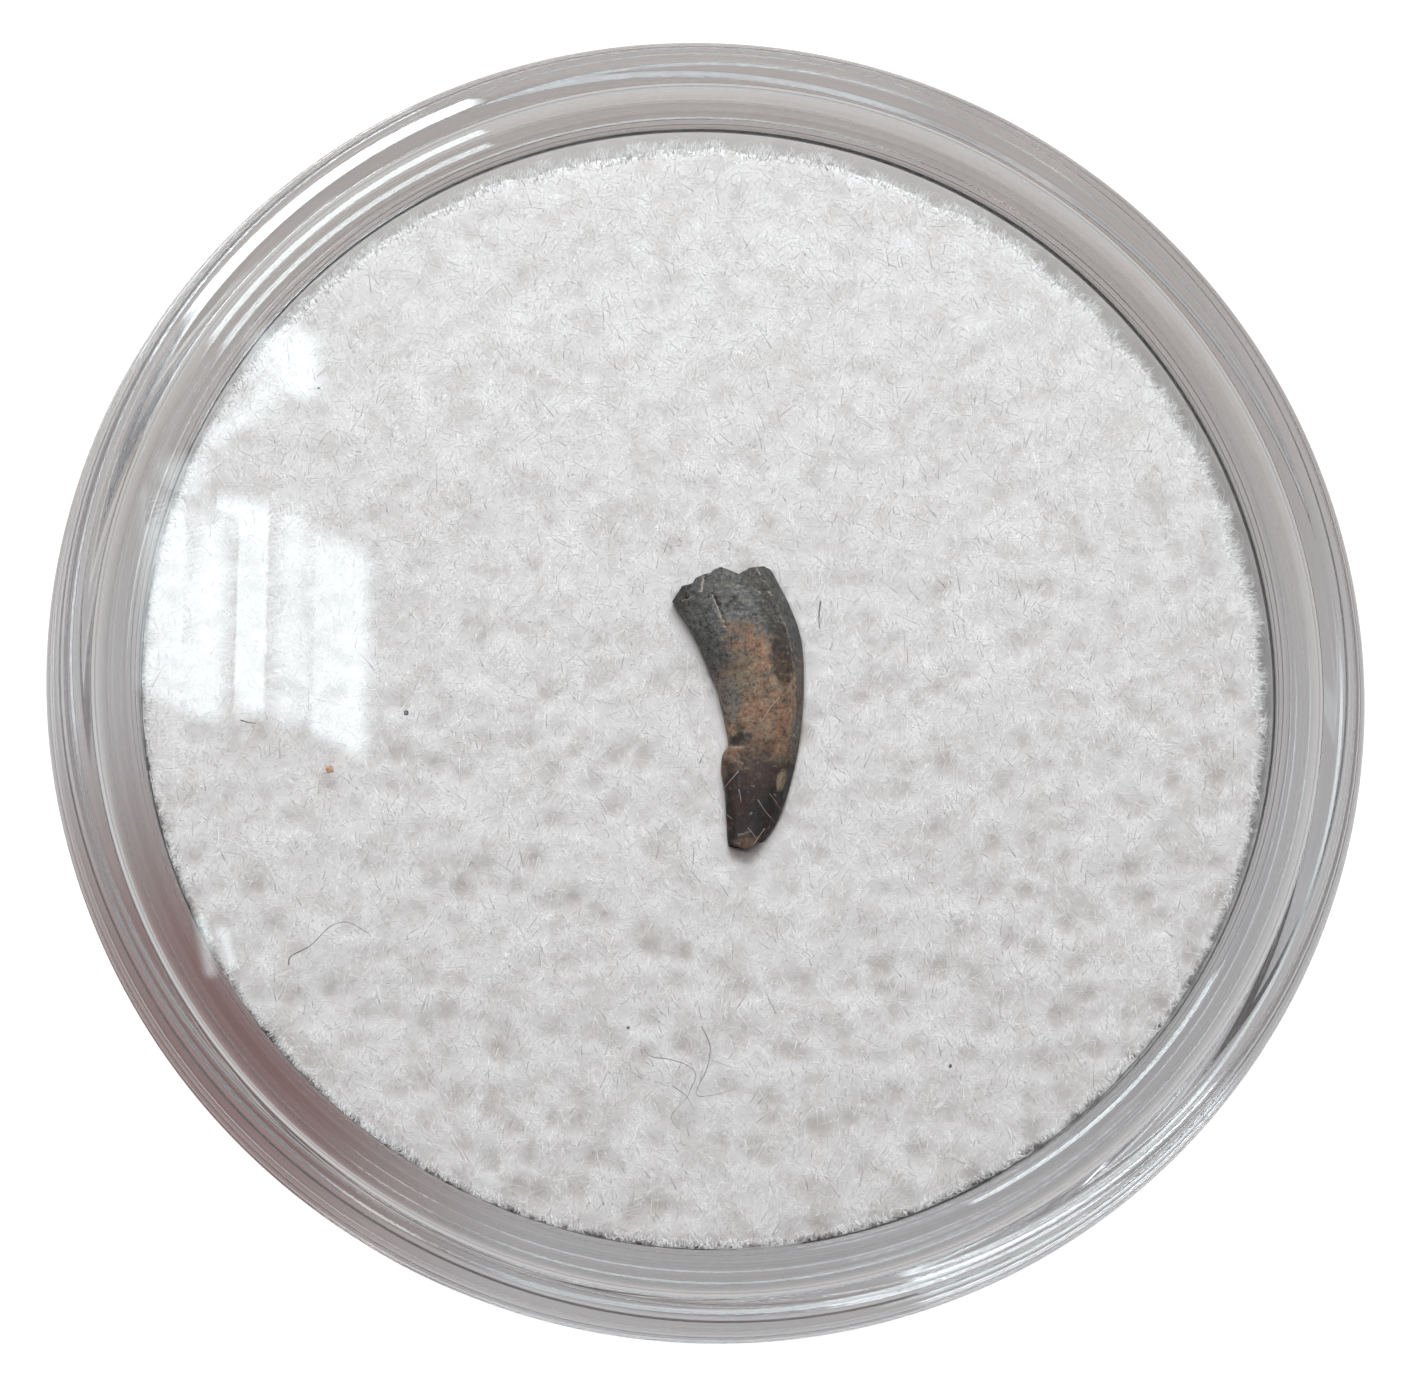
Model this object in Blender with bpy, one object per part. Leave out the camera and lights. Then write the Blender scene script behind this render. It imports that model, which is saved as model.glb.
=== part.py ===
"""A small fossil tooth lying on a fluffy pad in a round clear box with a lift-off lid.

The origin is the middle of the box's underside, +Z is up and the tooth's broken
base points to +Y. The lid, the base, the pad and the tooth are one solid each.
"""

import math

import bpy
import numpy as np

MM = 0.001

# Lid: a cap with a flat top, a rounded outer edge and a deep skirt
LID_RADIUS = 19.0 * MM
LID_TOP = 16.0 * MM
LID_THICKNESS = 1.2 * MM
LID_EDGE_ROUND = 1.1 * MM
LID_INNER_ROUND = 0.5 * MM
LID_SKIRT_BOTTOM = 5.4 * MM
LIP_ROUND = 0.25 * MM

# Base: a cup whose neck stands inside the lid and whose foot is flush with it
SEAM_GAP = 0.35 * MM
FOOT_RADIUS = 18.8 * MM
FOOT_ROUND = 0.6 * MM
NECK_RADIUS = 17.45 * MM
CUP_RADIUS = 16.45 * MM
CUP_FLOOR = 1.2 * MM
CUP_FLOOR_ROUND = 0.8 * MM
RIM_GAP = 0.35 * MM

# Pad: a disc of white fibre that fills the cup, as high as its fibre tips
PAD_GAP = 0.3 * MM
PAD_TOP = 14.0 * MM
PAD_SIDE_GAP = 0.35 * MM
PAD_TOP_ROUND = 0.7 * MM
PAD_BOTTOM_ROUND = 0.9 * MM

# Tooth: both edges of the crown, seen from above, from the broken base to the tip
CONCAVE_EDGE = [
    (-1.26 * MM, 2.12 * MM),
    (-0.73 * MM, 1.29 * MM),
    (-0.29 * MM, 0.38 * MM),
    (0.06 * MM, -0.51 * MM),
    (0.28 * MM, -1.46 * MM),
    (0.39 * MM, -2.12 * MM),
    (0.24 * MM, -2.36 * MM),
    (0.20 * MM, -2.85 * MM),
    (0.31 * MM, -3.62 * MM),
    (0.37 * MM, -4.60 * MM),
    (0.41 * MM, -4.97 * MM),
]
CONVEX_EDGE = [
    (1.75 * MM, 2.93 * MM),
    (2.16 * MM, 2.13 * MM),
    (2.50 * MM, 1.20 * MM),
    (2.60 * MM, 0.10 * MM),
    (2.55 * MM, -1.23 * MM),
    (2.40 * MM, -2.33 * MM),
    (2.13 * MM, -3.42 * MM),
    (1.83 * MM, -4.24 * MM),
    (1.48 * MM, -4.80 * MM),
]
# How far the broken ends stand past a straight line between the two edges:
# the share of the way across from the concave edge, and the distance
BASE_BREAK = [
    (0.00, 0.0),
    (0.11, 0.28 * MM),
    (0.20, 0.25 * MM),
    (0.24, 0.37 * MM),
    (0.32, 0.42 * MM),
    (0.39, 0.41 * MM),
    (0.41, 0.48 * MM),
    (0.49, 0.51 * MM),
    (0.58, 0.32 * MM),
    (0.64, 0.19 * MM),
    (0.70, 0.20 * MM),
    (0.75, 0.31 * MM),
    (0.85, 0.30 * MM),
    (0.91, 0.32 * MM),
    (0.98, 0.20 * MM),
    (1.00, 0.0),
]
TIP_BREAK = [(0.00, 0.0), (0.25, 0.17 * MM), (0.45, 0.24 * MM), (0.69, 0.10 * MM), (1.00, 0.0)]
BREAK_REACH = 0.1

# Thickness of the crown along its length, and the height of its middle plane
THICKNESS = [(0.0, 1.55 * MM), (0.2, 1.7 * MM), (0.5, 1.5 * MM), (0.8, 1.15 * MM), (1.0, 0.55 * MM)]
TOOTH_MIDDLE = 13.65 * MM
TIP_DROP = 0.15 * MM
SECTION_POWER = 0.55
SIDE_RIDGE = 0.84
TOOTH_STATIONS = 37
EXTRA_COLUMNS = (0.03, 0.06, 0.155, 0.28, 0.53, 0.80, 0.95)

# Hollow that the tooth has pressed into the pad
HOLLOW_GAP = 0.3 * MM
HOLLOW_STATIONS = 15
HOLLOW_COLUMNS = 11

TURNS = 64
ARC_STEPS = 5


def clear_scene():
    for obj in list(bpy.data.objects):
        bpy.data.objects.remove(obj, do_unlink=True)


def make_material(name, colour, roughness, transmission=0.0, ior=1.5):
    material = bpy.data.materials.new(name)
    material.use_nodes = True
    shader = material.node_tree.nodes["Principled BSDF"]
    shader.inputs["Base Color"].default_value = (*colour, 1.0)
    shader.inputs["Roughness"].default_value = roughness
    shader.inputs["Metallic"].default_value = 0.0
    shader.inputs["Transmission Weight"].default_value = transmission
    shader.inputs["IOR"].default_value = ior
    return material


def arc(centre_radius, centre_height, radius, start_deg, end_deg):
    """Points (radius, height) on a round corner of a turned profile."""
    angles = np.radians(np.linspace(start_deg, end_deg, ARC_STEPS + 1))
    return [(centre_radius + radius * math.cos(a), centre_height + radius * math.sin(a)) for a in angles]


def add_object(name, vertices, edges, faces, material, parent):
    mesh = bpy.data.meshes.new(name)
    mesh.from_pydata(vertices, edges, faces)
    mesh.materials.append(material)
    mesh.validate()
    mesh.update()
    obj = bpy.data.objects.new(name, mesh)
    bpy.context.scene.collection.objects.link(obj)
    obj.parent = parent
    return obj


def turned(name, profile, material, parent):
    """A profile of (radius, height) points, turned round +Z, with both of its ends on the axis."""
    vertices = [(radius, 0.0, height) for radius, height in profile]
    edges = [(i, i + 1) for i in range(len(profile) - 1)]
    obj = add_object(name, vertices, edges, [], material, parent)
    screw = obj.modifiers.new("turn", "SCREW")
    screw.axis = "Z"
    screw.steps = TURNS
    screw.render_steps = TURNS
    screw.use_merge_vertices = True
    screw.merge_threshold = 0.00001
    screw.use_smooth_shade = True
    return obj


def lid_profile():
    ceiling = LID_TOP - LID_THICKNESS
    bore = LID_RADIUS - LID_THICKNESS
    edge_middle = LID_RADIUS - LID_EDGE_ROUND
    profile = [(0.0, LID_TOP), (edge_middle * 0.5, LID_TOP)]
    profile += arc(edge_middle, LID_TOP - LID_EDGE_ROUND, LID_EDGE_ROUND, 90, 0)
    profile += [
        (LID_RADIUS, LID_SKIRT_BOTTOM + LIP_ROUND),
        (LID_RADIUS - LIP_ROUND, LID_SKIRT_BOTTOM),
        (bore + LIP_ROUND, LID_SKIRT_BOTTOM),
        (bore, LID_SKIRT_BOTTOM + LIP_ROUND),
    ]
    profile += arc(bore - LID_INNER_ROUND, ceiling - LID_INNER_ROUND, LID_INNER_ROUND, 0, 90)
    profile += [(edge_middle * 0.5, ceiling), (0.0, ceiling)]
    return profile


def base_profile():
    rim_top = LID_TOP - LID_THICKNESS - RIM_GAP
    rim_round = (NECK_RADIUS - CUP_RADIUS) / 2
    rim_middle = CUP_RADIUS + rim_round
    ledge = LID_SKIRT_BOTTOM - SEAM_GAP
    profile = [(0.0, CUP_FLOOR), (CUP_RADIUS * 0.5, CUP_FLOOR)]
    profile += arc(CUP_RADIUS - CUP_FLOOR_ROUND, CUP_FLOOR + CUP_FLOOR_ROUND, CUP_FLOOR_ROUND, -90, 0)
    profile += arc(rim_middle, rim_top - rim_round, rim_round, 180, 0)
    profile += [
        (NECK_RADIUS, ledge),
        (FOOT_RADIUS - LIP_ROUND, ledge),
        (FOOT_RADIUS, ledge - LIP_ROUND),
    ]
    profile += arc(FOOT_RADIUS - FOOT_ROUND, FOOT_ROUND, FOOT_ROUND, 0, -90)
    profile += [(FOOT_RADIUS * 0.5, 0.0), (0.0, 0.0)]
    return profile


def pad_profile():
    radius = CUP_RADIUS - PAD_SIDE_GAP
    bottom = CUP_FLOOR + PAD_GAP
    profile = [(0.0, PAD_TOP)]
    profile += arc(radius - PAD_TOP_ROUND, PAD_TOP - PAD_TOP_ROUND, PAD_TOP_ROUND, 90, 0)
    profile += arc(radius - PAD_BOTTOM_ROUND, bottom + PAD_BOTTOM_ROUND, PAD_BOTTOM_ROUND, 0, -90)
    profile.append((0.0, bottom))
    return profile


def smooth_edge(points, count):
    """Evenly spaced points on a smooth curve through the given ones."""
    given = np.array(points)
    guides = np.vstack([2 * given[0] - given[1], given, 2 * given[-1] - given[-2]])
    dense = []
    for a, b, c, d in zip(guides, guides[1:], guides[2:], guides[3:]):
        for s in np.linspace(0, 1, 20, endpoint=False):
            dense.append(0.5 * (2 * b + (c - a) * s + (2 * a - 5 * b + 4 * c - d) * s**2
                                + (3 * b - a - 3 * c + d) * s**3))
    dense = np.array([*dense, given[-1]])
    length = np.concatenate([[0], np.cumsum(np.linalg.norm(np.diff(dense, axis=0), axis=1))])
    wanted = np.linspace(0, length[-1], count)
    return np.column_stack([np.interp(wanted, length, dense[:, i]) for i in range(2)])


def look_up(table, position):
    return float(np.interp(position, *zip(*table)))


def section_height(across, ridged):
    """Share of the half thickness at this share of the way from the concave edge."""
    def oval(share):
        return (1 - (2 * share - 1) ** 2) ** SECTION_POWER
    if ridged and across > SIDE_RIDGE:
        return oval(SIDE_RIDGE) * (1 - across) / (1 - SIDE_RIDGE)
    return oval(across)


def crown_grid(stations, columns, clearance):
    """Rows of places across the crown, base to tip, with the half thickness at each row."""
    concave = smooth_edge(CONCAVE_EDGE, stations)
    convex = smooth_edge(CONVEX_EDGE, stations)
    rows = []
    for i, (start, end) in enumerate(zip(concave, convex)):
        along = i / (stations - 1)
        across = (end - start) / np.linalg.norm(end - start)
        towards_base = np.array([-across[1], across[0]])
        start = start - across * clearance
        end = end + across * clearance
        base_share = max(0.0, 1 - along / BREAK_REACH)
        tip_share = max(0.0, 1 - (1 - along) / BREAK_REACH)
        middle = TOOTH_MIDDLE - TIP_DROP * along
        row = []
        for u in columns:
            past = base_share * (look_up(BASE_BREAK, u) + clearance)
            past -= tip_share * (look_up(TIP_BREAK, u) + clearance)
            row.append((start + (end - start) * u + towards_base * past, middle))
        rows.append((row, look_up(THICKNESS, along) / 2 + clearance))
    return rows


def loop_faces(ring_count, around):
    """Quads between rings of the same number of points, and a face over each end."""
    faces = []
    for i in range(ring_count - 1):
        for j in range(around):
            k = (j + 1) % around
            faces.append((i * around + j, (i + 1) * around + j, (i + 1) * around + k, i * around + k))
    faces.append(tuple(range(around)))
    faces.append(tuple((ring_count - 1) * around + j for j in reversed(range(around))))
    return faces


def add_tooth(material, parent):
    columns = sorted({u for u, _ in BASE_BREAK} | set(EXTRA_COLUMNS))
    vertices = []
    for row, half in crown_grid(TOOTH_STATIONS, columns, 0.0):
        for u, (place, middle) in zip(columns, row):
            vertices.append((*place, middle + half * section_height(u, True)))
        for u, (place, middle) in list(zip(columns, row))[-2:0:-1]:
            vertices.append((*place, middle - half * section_height(u, False)))
    around = 2 * len(columns) - 2
    obj = add_object("tooth", vertices, [], loop_faces(TOOTH_STATIONS, around), material, parent)
    obj.data.shade_smooth()
    obj.data.set_sharp_from_angle(angle=math.radians(40))
    return obj


def add_hollow_cutter(parent):
    """The tooth's underside with room round it, and straight walls up out of the pad."""
    columns = [(1 - math.cos(math.pi * j / (HOLLOW_COLUMNS - 1))) / 2 for j in range(HOLLOW_COLUMNS)]
    vertices = []
    for row, half in crown_grid(HOLLOW_STATIONS, columns, HOLLOW_GAP):
        for place, _ in row:
            vertices.append((*place, LID_TOP))
        for u, (place, middle) in list(zip(columns, row))[::-1]:
            vertices.append((*place, middle - half * section_height(u, False)))
    around = 2 * len(columns)
    cutter = add_object("hollow_cutter", vertices, [], loop_faces(HOLLOW_STATIONS, around), None, parent)
    cutter.hide_render = True
    cutter.display_type = "WIRE"
    return cutter


def build():
    clear_scene()
    clear_plastic = make_material("clear_plastic", (0.96, 0.96, 0.96), 0.03, transmission=1.0, ior=1.59)
    white_fibre = make_material("white_fibre", (0.86, 0.85, 0.84), 0.95)
    fossil_enamel = make_material("fossil_enamel", (0.09, 0.06, 0.045), 0.42)

    specimen_box = bpy.data.objects.new("specimen_box", None)
    bpy.context.scene.collection.objects.link(specimen_box)

    turned("box_base", base_profile(), clear_plastic, specimen_box)
    turned("box_lid", lid_profile(), clear_plastic, specimen_box)
    pad = turned("fibre_pad", pad_profile(), white_fibre, specimen_box)
    hollow = pad.modifiers.new("tooth_hollow", "BOOLEAN")
    hollow.operation = "DIFFERENCE"
    hollow.solver = "EXACT"
    hollow.object = add_hollow_cutter(specimen_box)
    add_tooth(fossil_enamel, specimen_box)


build()
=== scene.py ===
"""Looks of a small fossil tooth that lies on a fluffy white pad in a round clear box.

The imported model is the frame: four nodes, box_base, box_lid, fibre_pad and tooth, in
metres, with the origin in the middle of the box's underside and +Z up.
"""

import logging
import math
from collections.abc import Sequence
from dataclasses import dataclass
from enum import Enum

import bmesh
import bpy
import numpy as np
from bpy.types import Material, Mesh, Node, NodeSocket as Socket, NodeTree, Object
from mathutils import Matrix, Vector, noise


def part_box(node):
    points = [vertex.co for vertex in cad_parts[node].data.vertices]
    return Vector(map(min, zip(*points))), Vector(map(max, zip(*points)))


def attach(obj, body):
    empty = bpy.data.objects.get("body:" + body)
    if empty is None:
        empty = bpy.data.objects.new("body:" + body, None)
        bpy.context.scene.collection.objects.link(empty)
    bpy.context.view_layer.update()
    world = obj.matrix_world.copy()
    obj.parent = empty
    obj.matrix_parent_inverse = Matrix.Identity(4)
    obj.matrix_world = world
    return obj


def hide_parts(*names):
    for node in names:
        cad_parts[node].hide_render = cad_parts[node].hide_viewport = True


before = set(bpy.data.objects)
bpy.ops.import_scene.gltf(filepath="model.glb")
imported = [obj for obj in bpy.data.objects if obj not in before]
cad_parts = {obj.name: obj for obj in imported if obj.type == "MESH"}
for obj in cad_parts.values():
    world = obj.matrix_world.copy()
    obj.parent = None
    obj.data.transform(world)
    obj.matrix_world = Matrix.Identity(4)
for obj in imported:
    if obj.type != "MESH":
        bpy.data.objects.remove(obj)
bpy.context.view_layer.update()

log = logging.getLogger("fossil_tooth")

MM = 0.001
BODY = "root"
CURVE_STEPS = 24

Colour = tuple[float, float, float]
Place = tuple[float, float, float]
Spot = tuple[float, float]
Value = Socket | float


class Slot(Enum):
    """The record's material slots."""

    BASE = "clear_plastic_base"
    LID = "clear_plastic_lid"
    FIBRE = "white_fibre"
    ENAMEL = "fossil_enamel"


class Strand(Enum):
    """Kinds of loose fibre that lie on the pad and on the tooth."""

    WHITE = "white"
    DARK = "dark"
    FAINT = "faint"
    RUST = "rust"


def per_mm(count: float) -> float:
    """A texture scale that gives this many features to a millimetre."""
    return count / MM


def smooth_step(low: float, high: float, value: np.ndarray) -> np.ndarray:
    """Goes from 0 at low to 1 at high, smoothly.

    Args:
        low: Where the step starts.
        high: Where it ends.
        value: What to read it at.

    Returns:
        The step's height at each value.
    """
    share = np.clip((value - low) / (high - low), 0.0, 1.0)
    return share * share * (3 - 2 * share)


class Graph:
    """A node tree that is being wired."""

    def __init__(self, tree: NodeTree) -> None:
        """Starts on a tree, which may hold nodes already."""
        self.tree = tree

    def add(self, kind: str, sockets: dict | None = None, **settings: object) -> Node:
        """Adds one node.

        Args:
            kind: The node's type, such as ShaderNodeTexNoise.
            sockets: Values for its inputs by name or index, or sockets to link to them.
            settings: The node's own options.

        Returns:
            The new node.
        """
        node = self.tree.nodes.new(kind)
        for name, value in settings.items():
            setattr(node, name, value)
        for name, value in (sockets or {}).items():
            socket = node.inputs[name]
            if isinstance(value, Socket):
                self.link(value, socket)
            else:
                socket.default_value = (*value, 1.0) if socket.type == "RGBA" else value
        return node

    def link(self, value: Socket, socket: Socket) -> None:
        """Feeds a socket from another one."""
        self.tree.links.new(value, socket)

    def math(self, operation: str, first: Value, second: Value = 0.0, third: Value = 0.0) -> Socket:
        """A Math node's result."""
        return self.add("ShaderNodeMath", {0: first, 1: second, 2: third}, operation=operation).outputs[0]

    def plus(self, first: Value, second: Value) -> Socket:
        """The sum of two values."""
        return self.math("ADD", first, second)

    def minus(self, first: Value, second: Value) -> Socket:
        """The first value less the second."""
        return self.math("SUBTRACT", first, second)

    def times(self, first: Value, second: Value) -> Socket:
        """The product of two values."""
        return self.math("MULTIPLY", first, second)

    def ramp(
        self, value: Value, low: float, high: float, to_low: float = 0.0, to_high: float = 1.0
    ) -> Socket:
        """A smooth Map Range's result, clamped at both ends."""
        levels = {"Value": value, "From Min": low, "From Max": high, "To Min": to_low, "To Max": to_high}
        return self.add("ShaderNodeMapRange", levels, interpolation_type="SMOOTHSTEP").outputs["Result"]

    def noise(self, place: Value, scale: Value, detail: Value, roughness: float = 0.5) -> Socket:
        """Plain noise, as a value from about 0 to 1."""
        looks = {"Vector": place, "Scale": scale, "Detail": detail, "Roughness": roughness}
        return self.add("ShaderNodeTexNoise", looks).outputs[0]

    def mix(self, share: Value, first: Value | Colour, second: Value | Colour) -> Socket:
        """A colour between two, by share."""
        return self.add("ShaderNodeMix", {0: share, 6: first, 7: second}, data_type="RGBA").outputs[2]

    def place(self) -> Socket:
        """Coordinates fixed to the object, in metres."""
        return self.add("ShaderNodeTexCoord").outputs["Object"]

    def point_value(self, name: str) -> Socket:
        """A value that the mesh holds at each of its points."""
        return self.add("ShaderNodeAttribute", attribute_name=name).outputs["Fac"]

    def group(self, tree: NodeTree, sockets: dict) -> Socket:
        """Places a node group with its own values and gives its result."""
        return self.add("ShaderNodeGroup", sockets, node_tree=tree).outputs[0]


def new_group(
    name: str, inputs: dict[str, float | None], outputs: tuple[str, ...]
) -> tuple[Graph, dict, dict]:
    """Starts a shader node group with named sockets.

    Args:
        name: The group's name.
        inputs: Each input's name and value; None makes it a vector.
        outputs: The names of its outputs, all of them plain numbers.

    Returns:
        The graph to wire, the group's inputs by name, and the sockets to feed by name.
    """
    tree = bpy.data.node_groups.new(name, "ShaderNodeTree")
    for label, value in inputs.items():
        kind = "NodeSocketVector" if value is None else "NodeSocketFloat"
        socket = tree.interface.new_socket(label, in_out="INPUT", socket_type=kind)
        if value is not None:
            socket.default_value = value
    for label in outputs:
        tree.interface.new_socket(label, in_out="OUTPUT", socket_type="NodeSocketFloat")
    graph = Graph(tree)
    start = graph.add("NodeGroupInput")
    end = graph.add("NodeGroupOutput")
    return graph, dict(start.outputs.items()), dict(end.inputs.items())


@dataclass(frozen=True)
class Effects:
    """Shader effects that the finishes use, each built once."""

    mottle: NodeTree
    relief: NodeTree
    patch: NodeTree
    ripple: NodeTree
    scratch: NodeTree

    @classmethod
    def build(cls) -> "Effects":
        """Builds every effect's node group."""
        return cls(cls._mottle(), cls._relief(), cls._patch(), cls._ripple(), cls._scratch())

    @staticmethod
    def _mottle() -> NodeTree:
        """Soft blotches: a noise cut between two levels.

        Returns:
            The group.
        """
        inputs = {"Vector": None, "Scale": 500.0, "Detail": 4.0, "Low": 0.4, "High": 0.6}
        graph, given, wanted = new_group("mottle", inputs, ("Mask",))
        cloud = graph.noise(given["Vector"], given["Scale"], given["Detail"], 0.62)
        graph.link(graph.ramp(cloud, given["Low"], given["High"]), wanted["Mask"])
        return graph.tree

    @staticmethod
    def _relief() -> NodeTree:
        """A height made of broad waves and fine grain.

        Returns:
            The group.
        """
        inputs = {"Vector": None, "Broad Scale": 300.0, "Grain Scale": 6000.0, "Grain Share": 0.4}
        graph, given, wanted = new_group("relief", inputs, ("Height",))
        broad = graph.noise(given["Vector"], given["Broad Scale"], 3.0)
        grain = graph.noise(given["Vector"], given["Grain Scale"], 2.0)
        graph.link(graph.plus(broad, graph.times(grain, given["Grain Share"])), wanted["Height"])
        return graph.tree

    @staticmethod
    def _patch() -> NodeTree:
        """A ragged oval patch at a place along and across the crown.

        Returns:
            The group.
        """
        graph, given, wanted = new_group(
            "patch",
            {
                "Along": 0.0,
                "Across": 0.0,
                "Ragged": 0.5,
                "Centre Along": 0.5,
                "Centre Across": 0.5,
                "Reach Along": 0.1,
                "Reach Across": 0.1,
            },
            ("Mask",),
        )
        along = graph.minus(given["Along"], given["Centre Along"])
        along = graph.math("DIVIDE", along, given["Reach Along"])
        across = graph.minus(given["Across"], given["Centre Across"])
        across = graph.math("DIVIDE", across, given["Reach Across"])
        square = graph.plus(graph.times(along, along), graph.times(across, across))
        uneven = graph.math("MULTIPLY_ADD", given["Ragged"], 1.6, graph.minus(square, 0.8))
        mask = graph.ramp(uneven, 0.5, 1.3, 1.0, 0.0)
        graph.link(mask, wanted["Mask"])
        return graph.tree

    @staticmethod
    def _ripple() -> NodeTree:
        """A height of broad, shallow waves alone.

        Returns:
            The group.
        """
        graph, given, wanted = new_group("ripple", {"Vector": None, "Scale": 100.0}, ("Height",))
        graph.link(graph.noise(given["Vector"], given["Scale"], 1.0), wanted["Height"])
        return graph.tree

    @staticmethod
    def _scratch() -> NodeTree:
        """A hairline between two places in the plan, a little wavy and broken.

        Returns:
            The group.
        """
        graph, given, wanted = new_group(
            "scratch",
            {
                "Vector": None,
                "Wander": 0.5,
                "Start X": 0.0,
                "Start Y": 0.0,
                "Way X": 1.0,
                "Way Y": 0.0,
                "Width": 0.03 * MM,
            },
            ("Mask",),
        )
        place = graph.add("ShaderNodeSeparateXYZ", {0: given["Vector"]})
        x = graph.minus(place.outputs[0], given["Start X"])
        y = graph.minus(place.outputs[1], given["Start Y"])
        length = graph.plus(
            graph.times(given["Way X"], given["Way X"]), graph.times(given["Way Y"], given["Way Y"])
        )
        share = graph.plus(graph.times(x, given["Way X"]), graph.times(y, given["Way Y"]))
        share = graph.math("DIVIDE", share, length)
        side = graph.minus(graph.times(x, given["Way Y"]), graph.times(y, given["Way X"]))
        side = graph.math("DIVIDE", side, graph.math("SQRT", length))
        wave = graph.times(graph.minus(given["Wander"], 0.5), 0.22 * MM)
        off = graph.math("ABSOLUTE", graph.plus(side, wave))
        line = graph.minus(1.0, graph.math("DIVIDE", off, given["Width"]))
        line = graph.ramp(line, 0.0, 0.7)
        within = graph.times(graph.ramp(share, 0.0, 0.04), graph.ramp(share, 0.96, 1.0, 1.0, 0.0))
        upper = graph.math("GREATER_THAN", place.outputs[2], 13.6 * MM)
        mask = graph.times(graph.times(line, within), upper)
        graph.link(mask, wanted["Mask"])
        return graph.tree


def new_material(name: str) -> tuple[Material, Graph, Node, Node]:
    """A fresh material with its Principled shader.

    Args:
        name: The material's name.

    Returns:
        The material, its graph, the Principled shader and the output node.
    """
    material = bpy.data.materials.new(name)
    material.use_nodes = True
    material.node_tree.nodes.clear()
    graph = Graph(material.node_tree)
    shader = graph.add("ShaderNodeBsdfPrincipled")
    output = graph.add("ShaderNodeOutputMaterial")
    graph.link(shader.outputs[0], output.inputs["Surface"])
    return material, graph, shader, output


@dataclass(frozen=True)
class ClearPlastic:
    """Polished clear polystyrene, a little uneven from the mould."""

    name: str
    tint: Colour = (0.99, 0.99, 0.99)
    hazy: Colour = (0.955, 0.955, 0.955)
    ior: float = 1.59
    inner_tint: Colour = (0.62, 0.58, 0.60)
    inner_density: float = 24.0

    def material(self, effects: Effects) -> Material:
        """Builds the plastic, see-through by its transmission, IOR and absorption.

        Args:
            effects: The node groups that the finishes use.

        Returns:
            The material.
        """
        material, graph, shader, output = new_material(self.name)
        haze = graph.group(effects.ripple, {"Vector": graph.place(), "Scale": per_mm(0.3)})
        graph.link(graph.mix(haze, self.tint, self.hazy), shader.inputs["Base Color"])
        shader.inputs["Transmission Weight"].default_value = 1.0
        shader.inputs["IOR"].default_value = self.ior
        shader.inputs["Roughness"].default_value = 0.0
        inside = graph.add(
            "ShaderNodeVolumeAbsorption", {"Color": self.inner_tint, "Density": self.inner_density}
        )
        graph.link(inside.outputs[0], output.inputs["Volume"])
        return material


@dataclass(frozen=True)
class WhiteFibre:
    """White polyester fibre, matt, with faint warm blotches, and painted shade in the dimples of the pad's
    body.
    """

    name: str
    pale: Colour
    shade: Colour
    blotches_per_mm: float = 1.1
    roughness: float = 0.8
    upward: float = 0.0
    # Painted shade: the colour that the dimples of the pad's body are darkened to.
    hollow: Colour = (0.61, 0.575, 0.555)

    def material(self, effects: Effects) -> Material:
        """Builds the fibre's finish.

        Args:
            effects: The node groups that the finishes use.

        Returns:
            The material.
        """
        material, graph, shader, _ = new_material(self.name)
        blotch = graph.group(
            effects.mottle,
            {
                "Vector": graph.place(),
                "Scale": per_mm(self.blotches_per_mm),
                "Detail": 3.0,
                "Low": 0.42,
                "High": 0.66,
            },
        )
        # Painted shade: where the mesh holds a dimple depth, the colour is darkened unevenly towards the
        # hollow colour.
        depth = graph.point_value("hollow")
        tone = graph.mix(blotch, self.pale, self.shade)
        uneven = graph.times(depth, graph.ramp(blotch, 0.0, 1.0, 0.55, 1.0))
        tone = graph.mix(graph.ramp(uneven, 0.05, 0.75), tone, self.hollow)
        graph.link(tone, shader.inputs["Base Color"])
        shader.inputs["Roughness"].default_value = self.roughness
        shader.inputs["Specular IOR Level"].default_value = 0.0
        if self.upward:
            own = graph.add("ShaderNodeNewGeometry").outputs["Normal"]
            own = graph.add("ShaderNodeVectorMath", {0: own, 3: 1 - self.upward}, operation="SCALE")
            lifted = graph.add("ShaderNodeVectorMath", {0: own.outputs[0], 1: (0.0, 0.0, self.upward)})
            facing = graph.add("ShaderNodeVectorMath", {0: lifted.outputs[0]}, operation="NORMALIZE")
            graph.link(facing.outputs[0], shader.inputs["Normal"])
        return material


@dataclass(frozen=True)
class PlainHair:
    """A thin loose fibre or a speck of dirt of one colour, mottled along its length."""

    name: str
    colour: Colour
    ends: Colour
    roughness: float = 0.5

    def material(self, effects: Effects) -> Material:
        """Builds the finish of the strand.

        Args:
            effects: The node groups that the finishes use.

        Returns:
            The material.
        """
        material, graph, shader, _ = new_material(self.name)
        look = {"Vector": graph.place(), "Scale": per_mm(3.0), "Detail": 3.0, "Low": 0.4, "High": 0.6}
        blotch = graph.group(effects.mottle, look)
        graph.link(graph.mix(blotch, self.colour, self.ends), shader.inputs["Base Color"])
        shader.inputs["Roughness"].default_value = self.roughness
        return material


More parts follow.
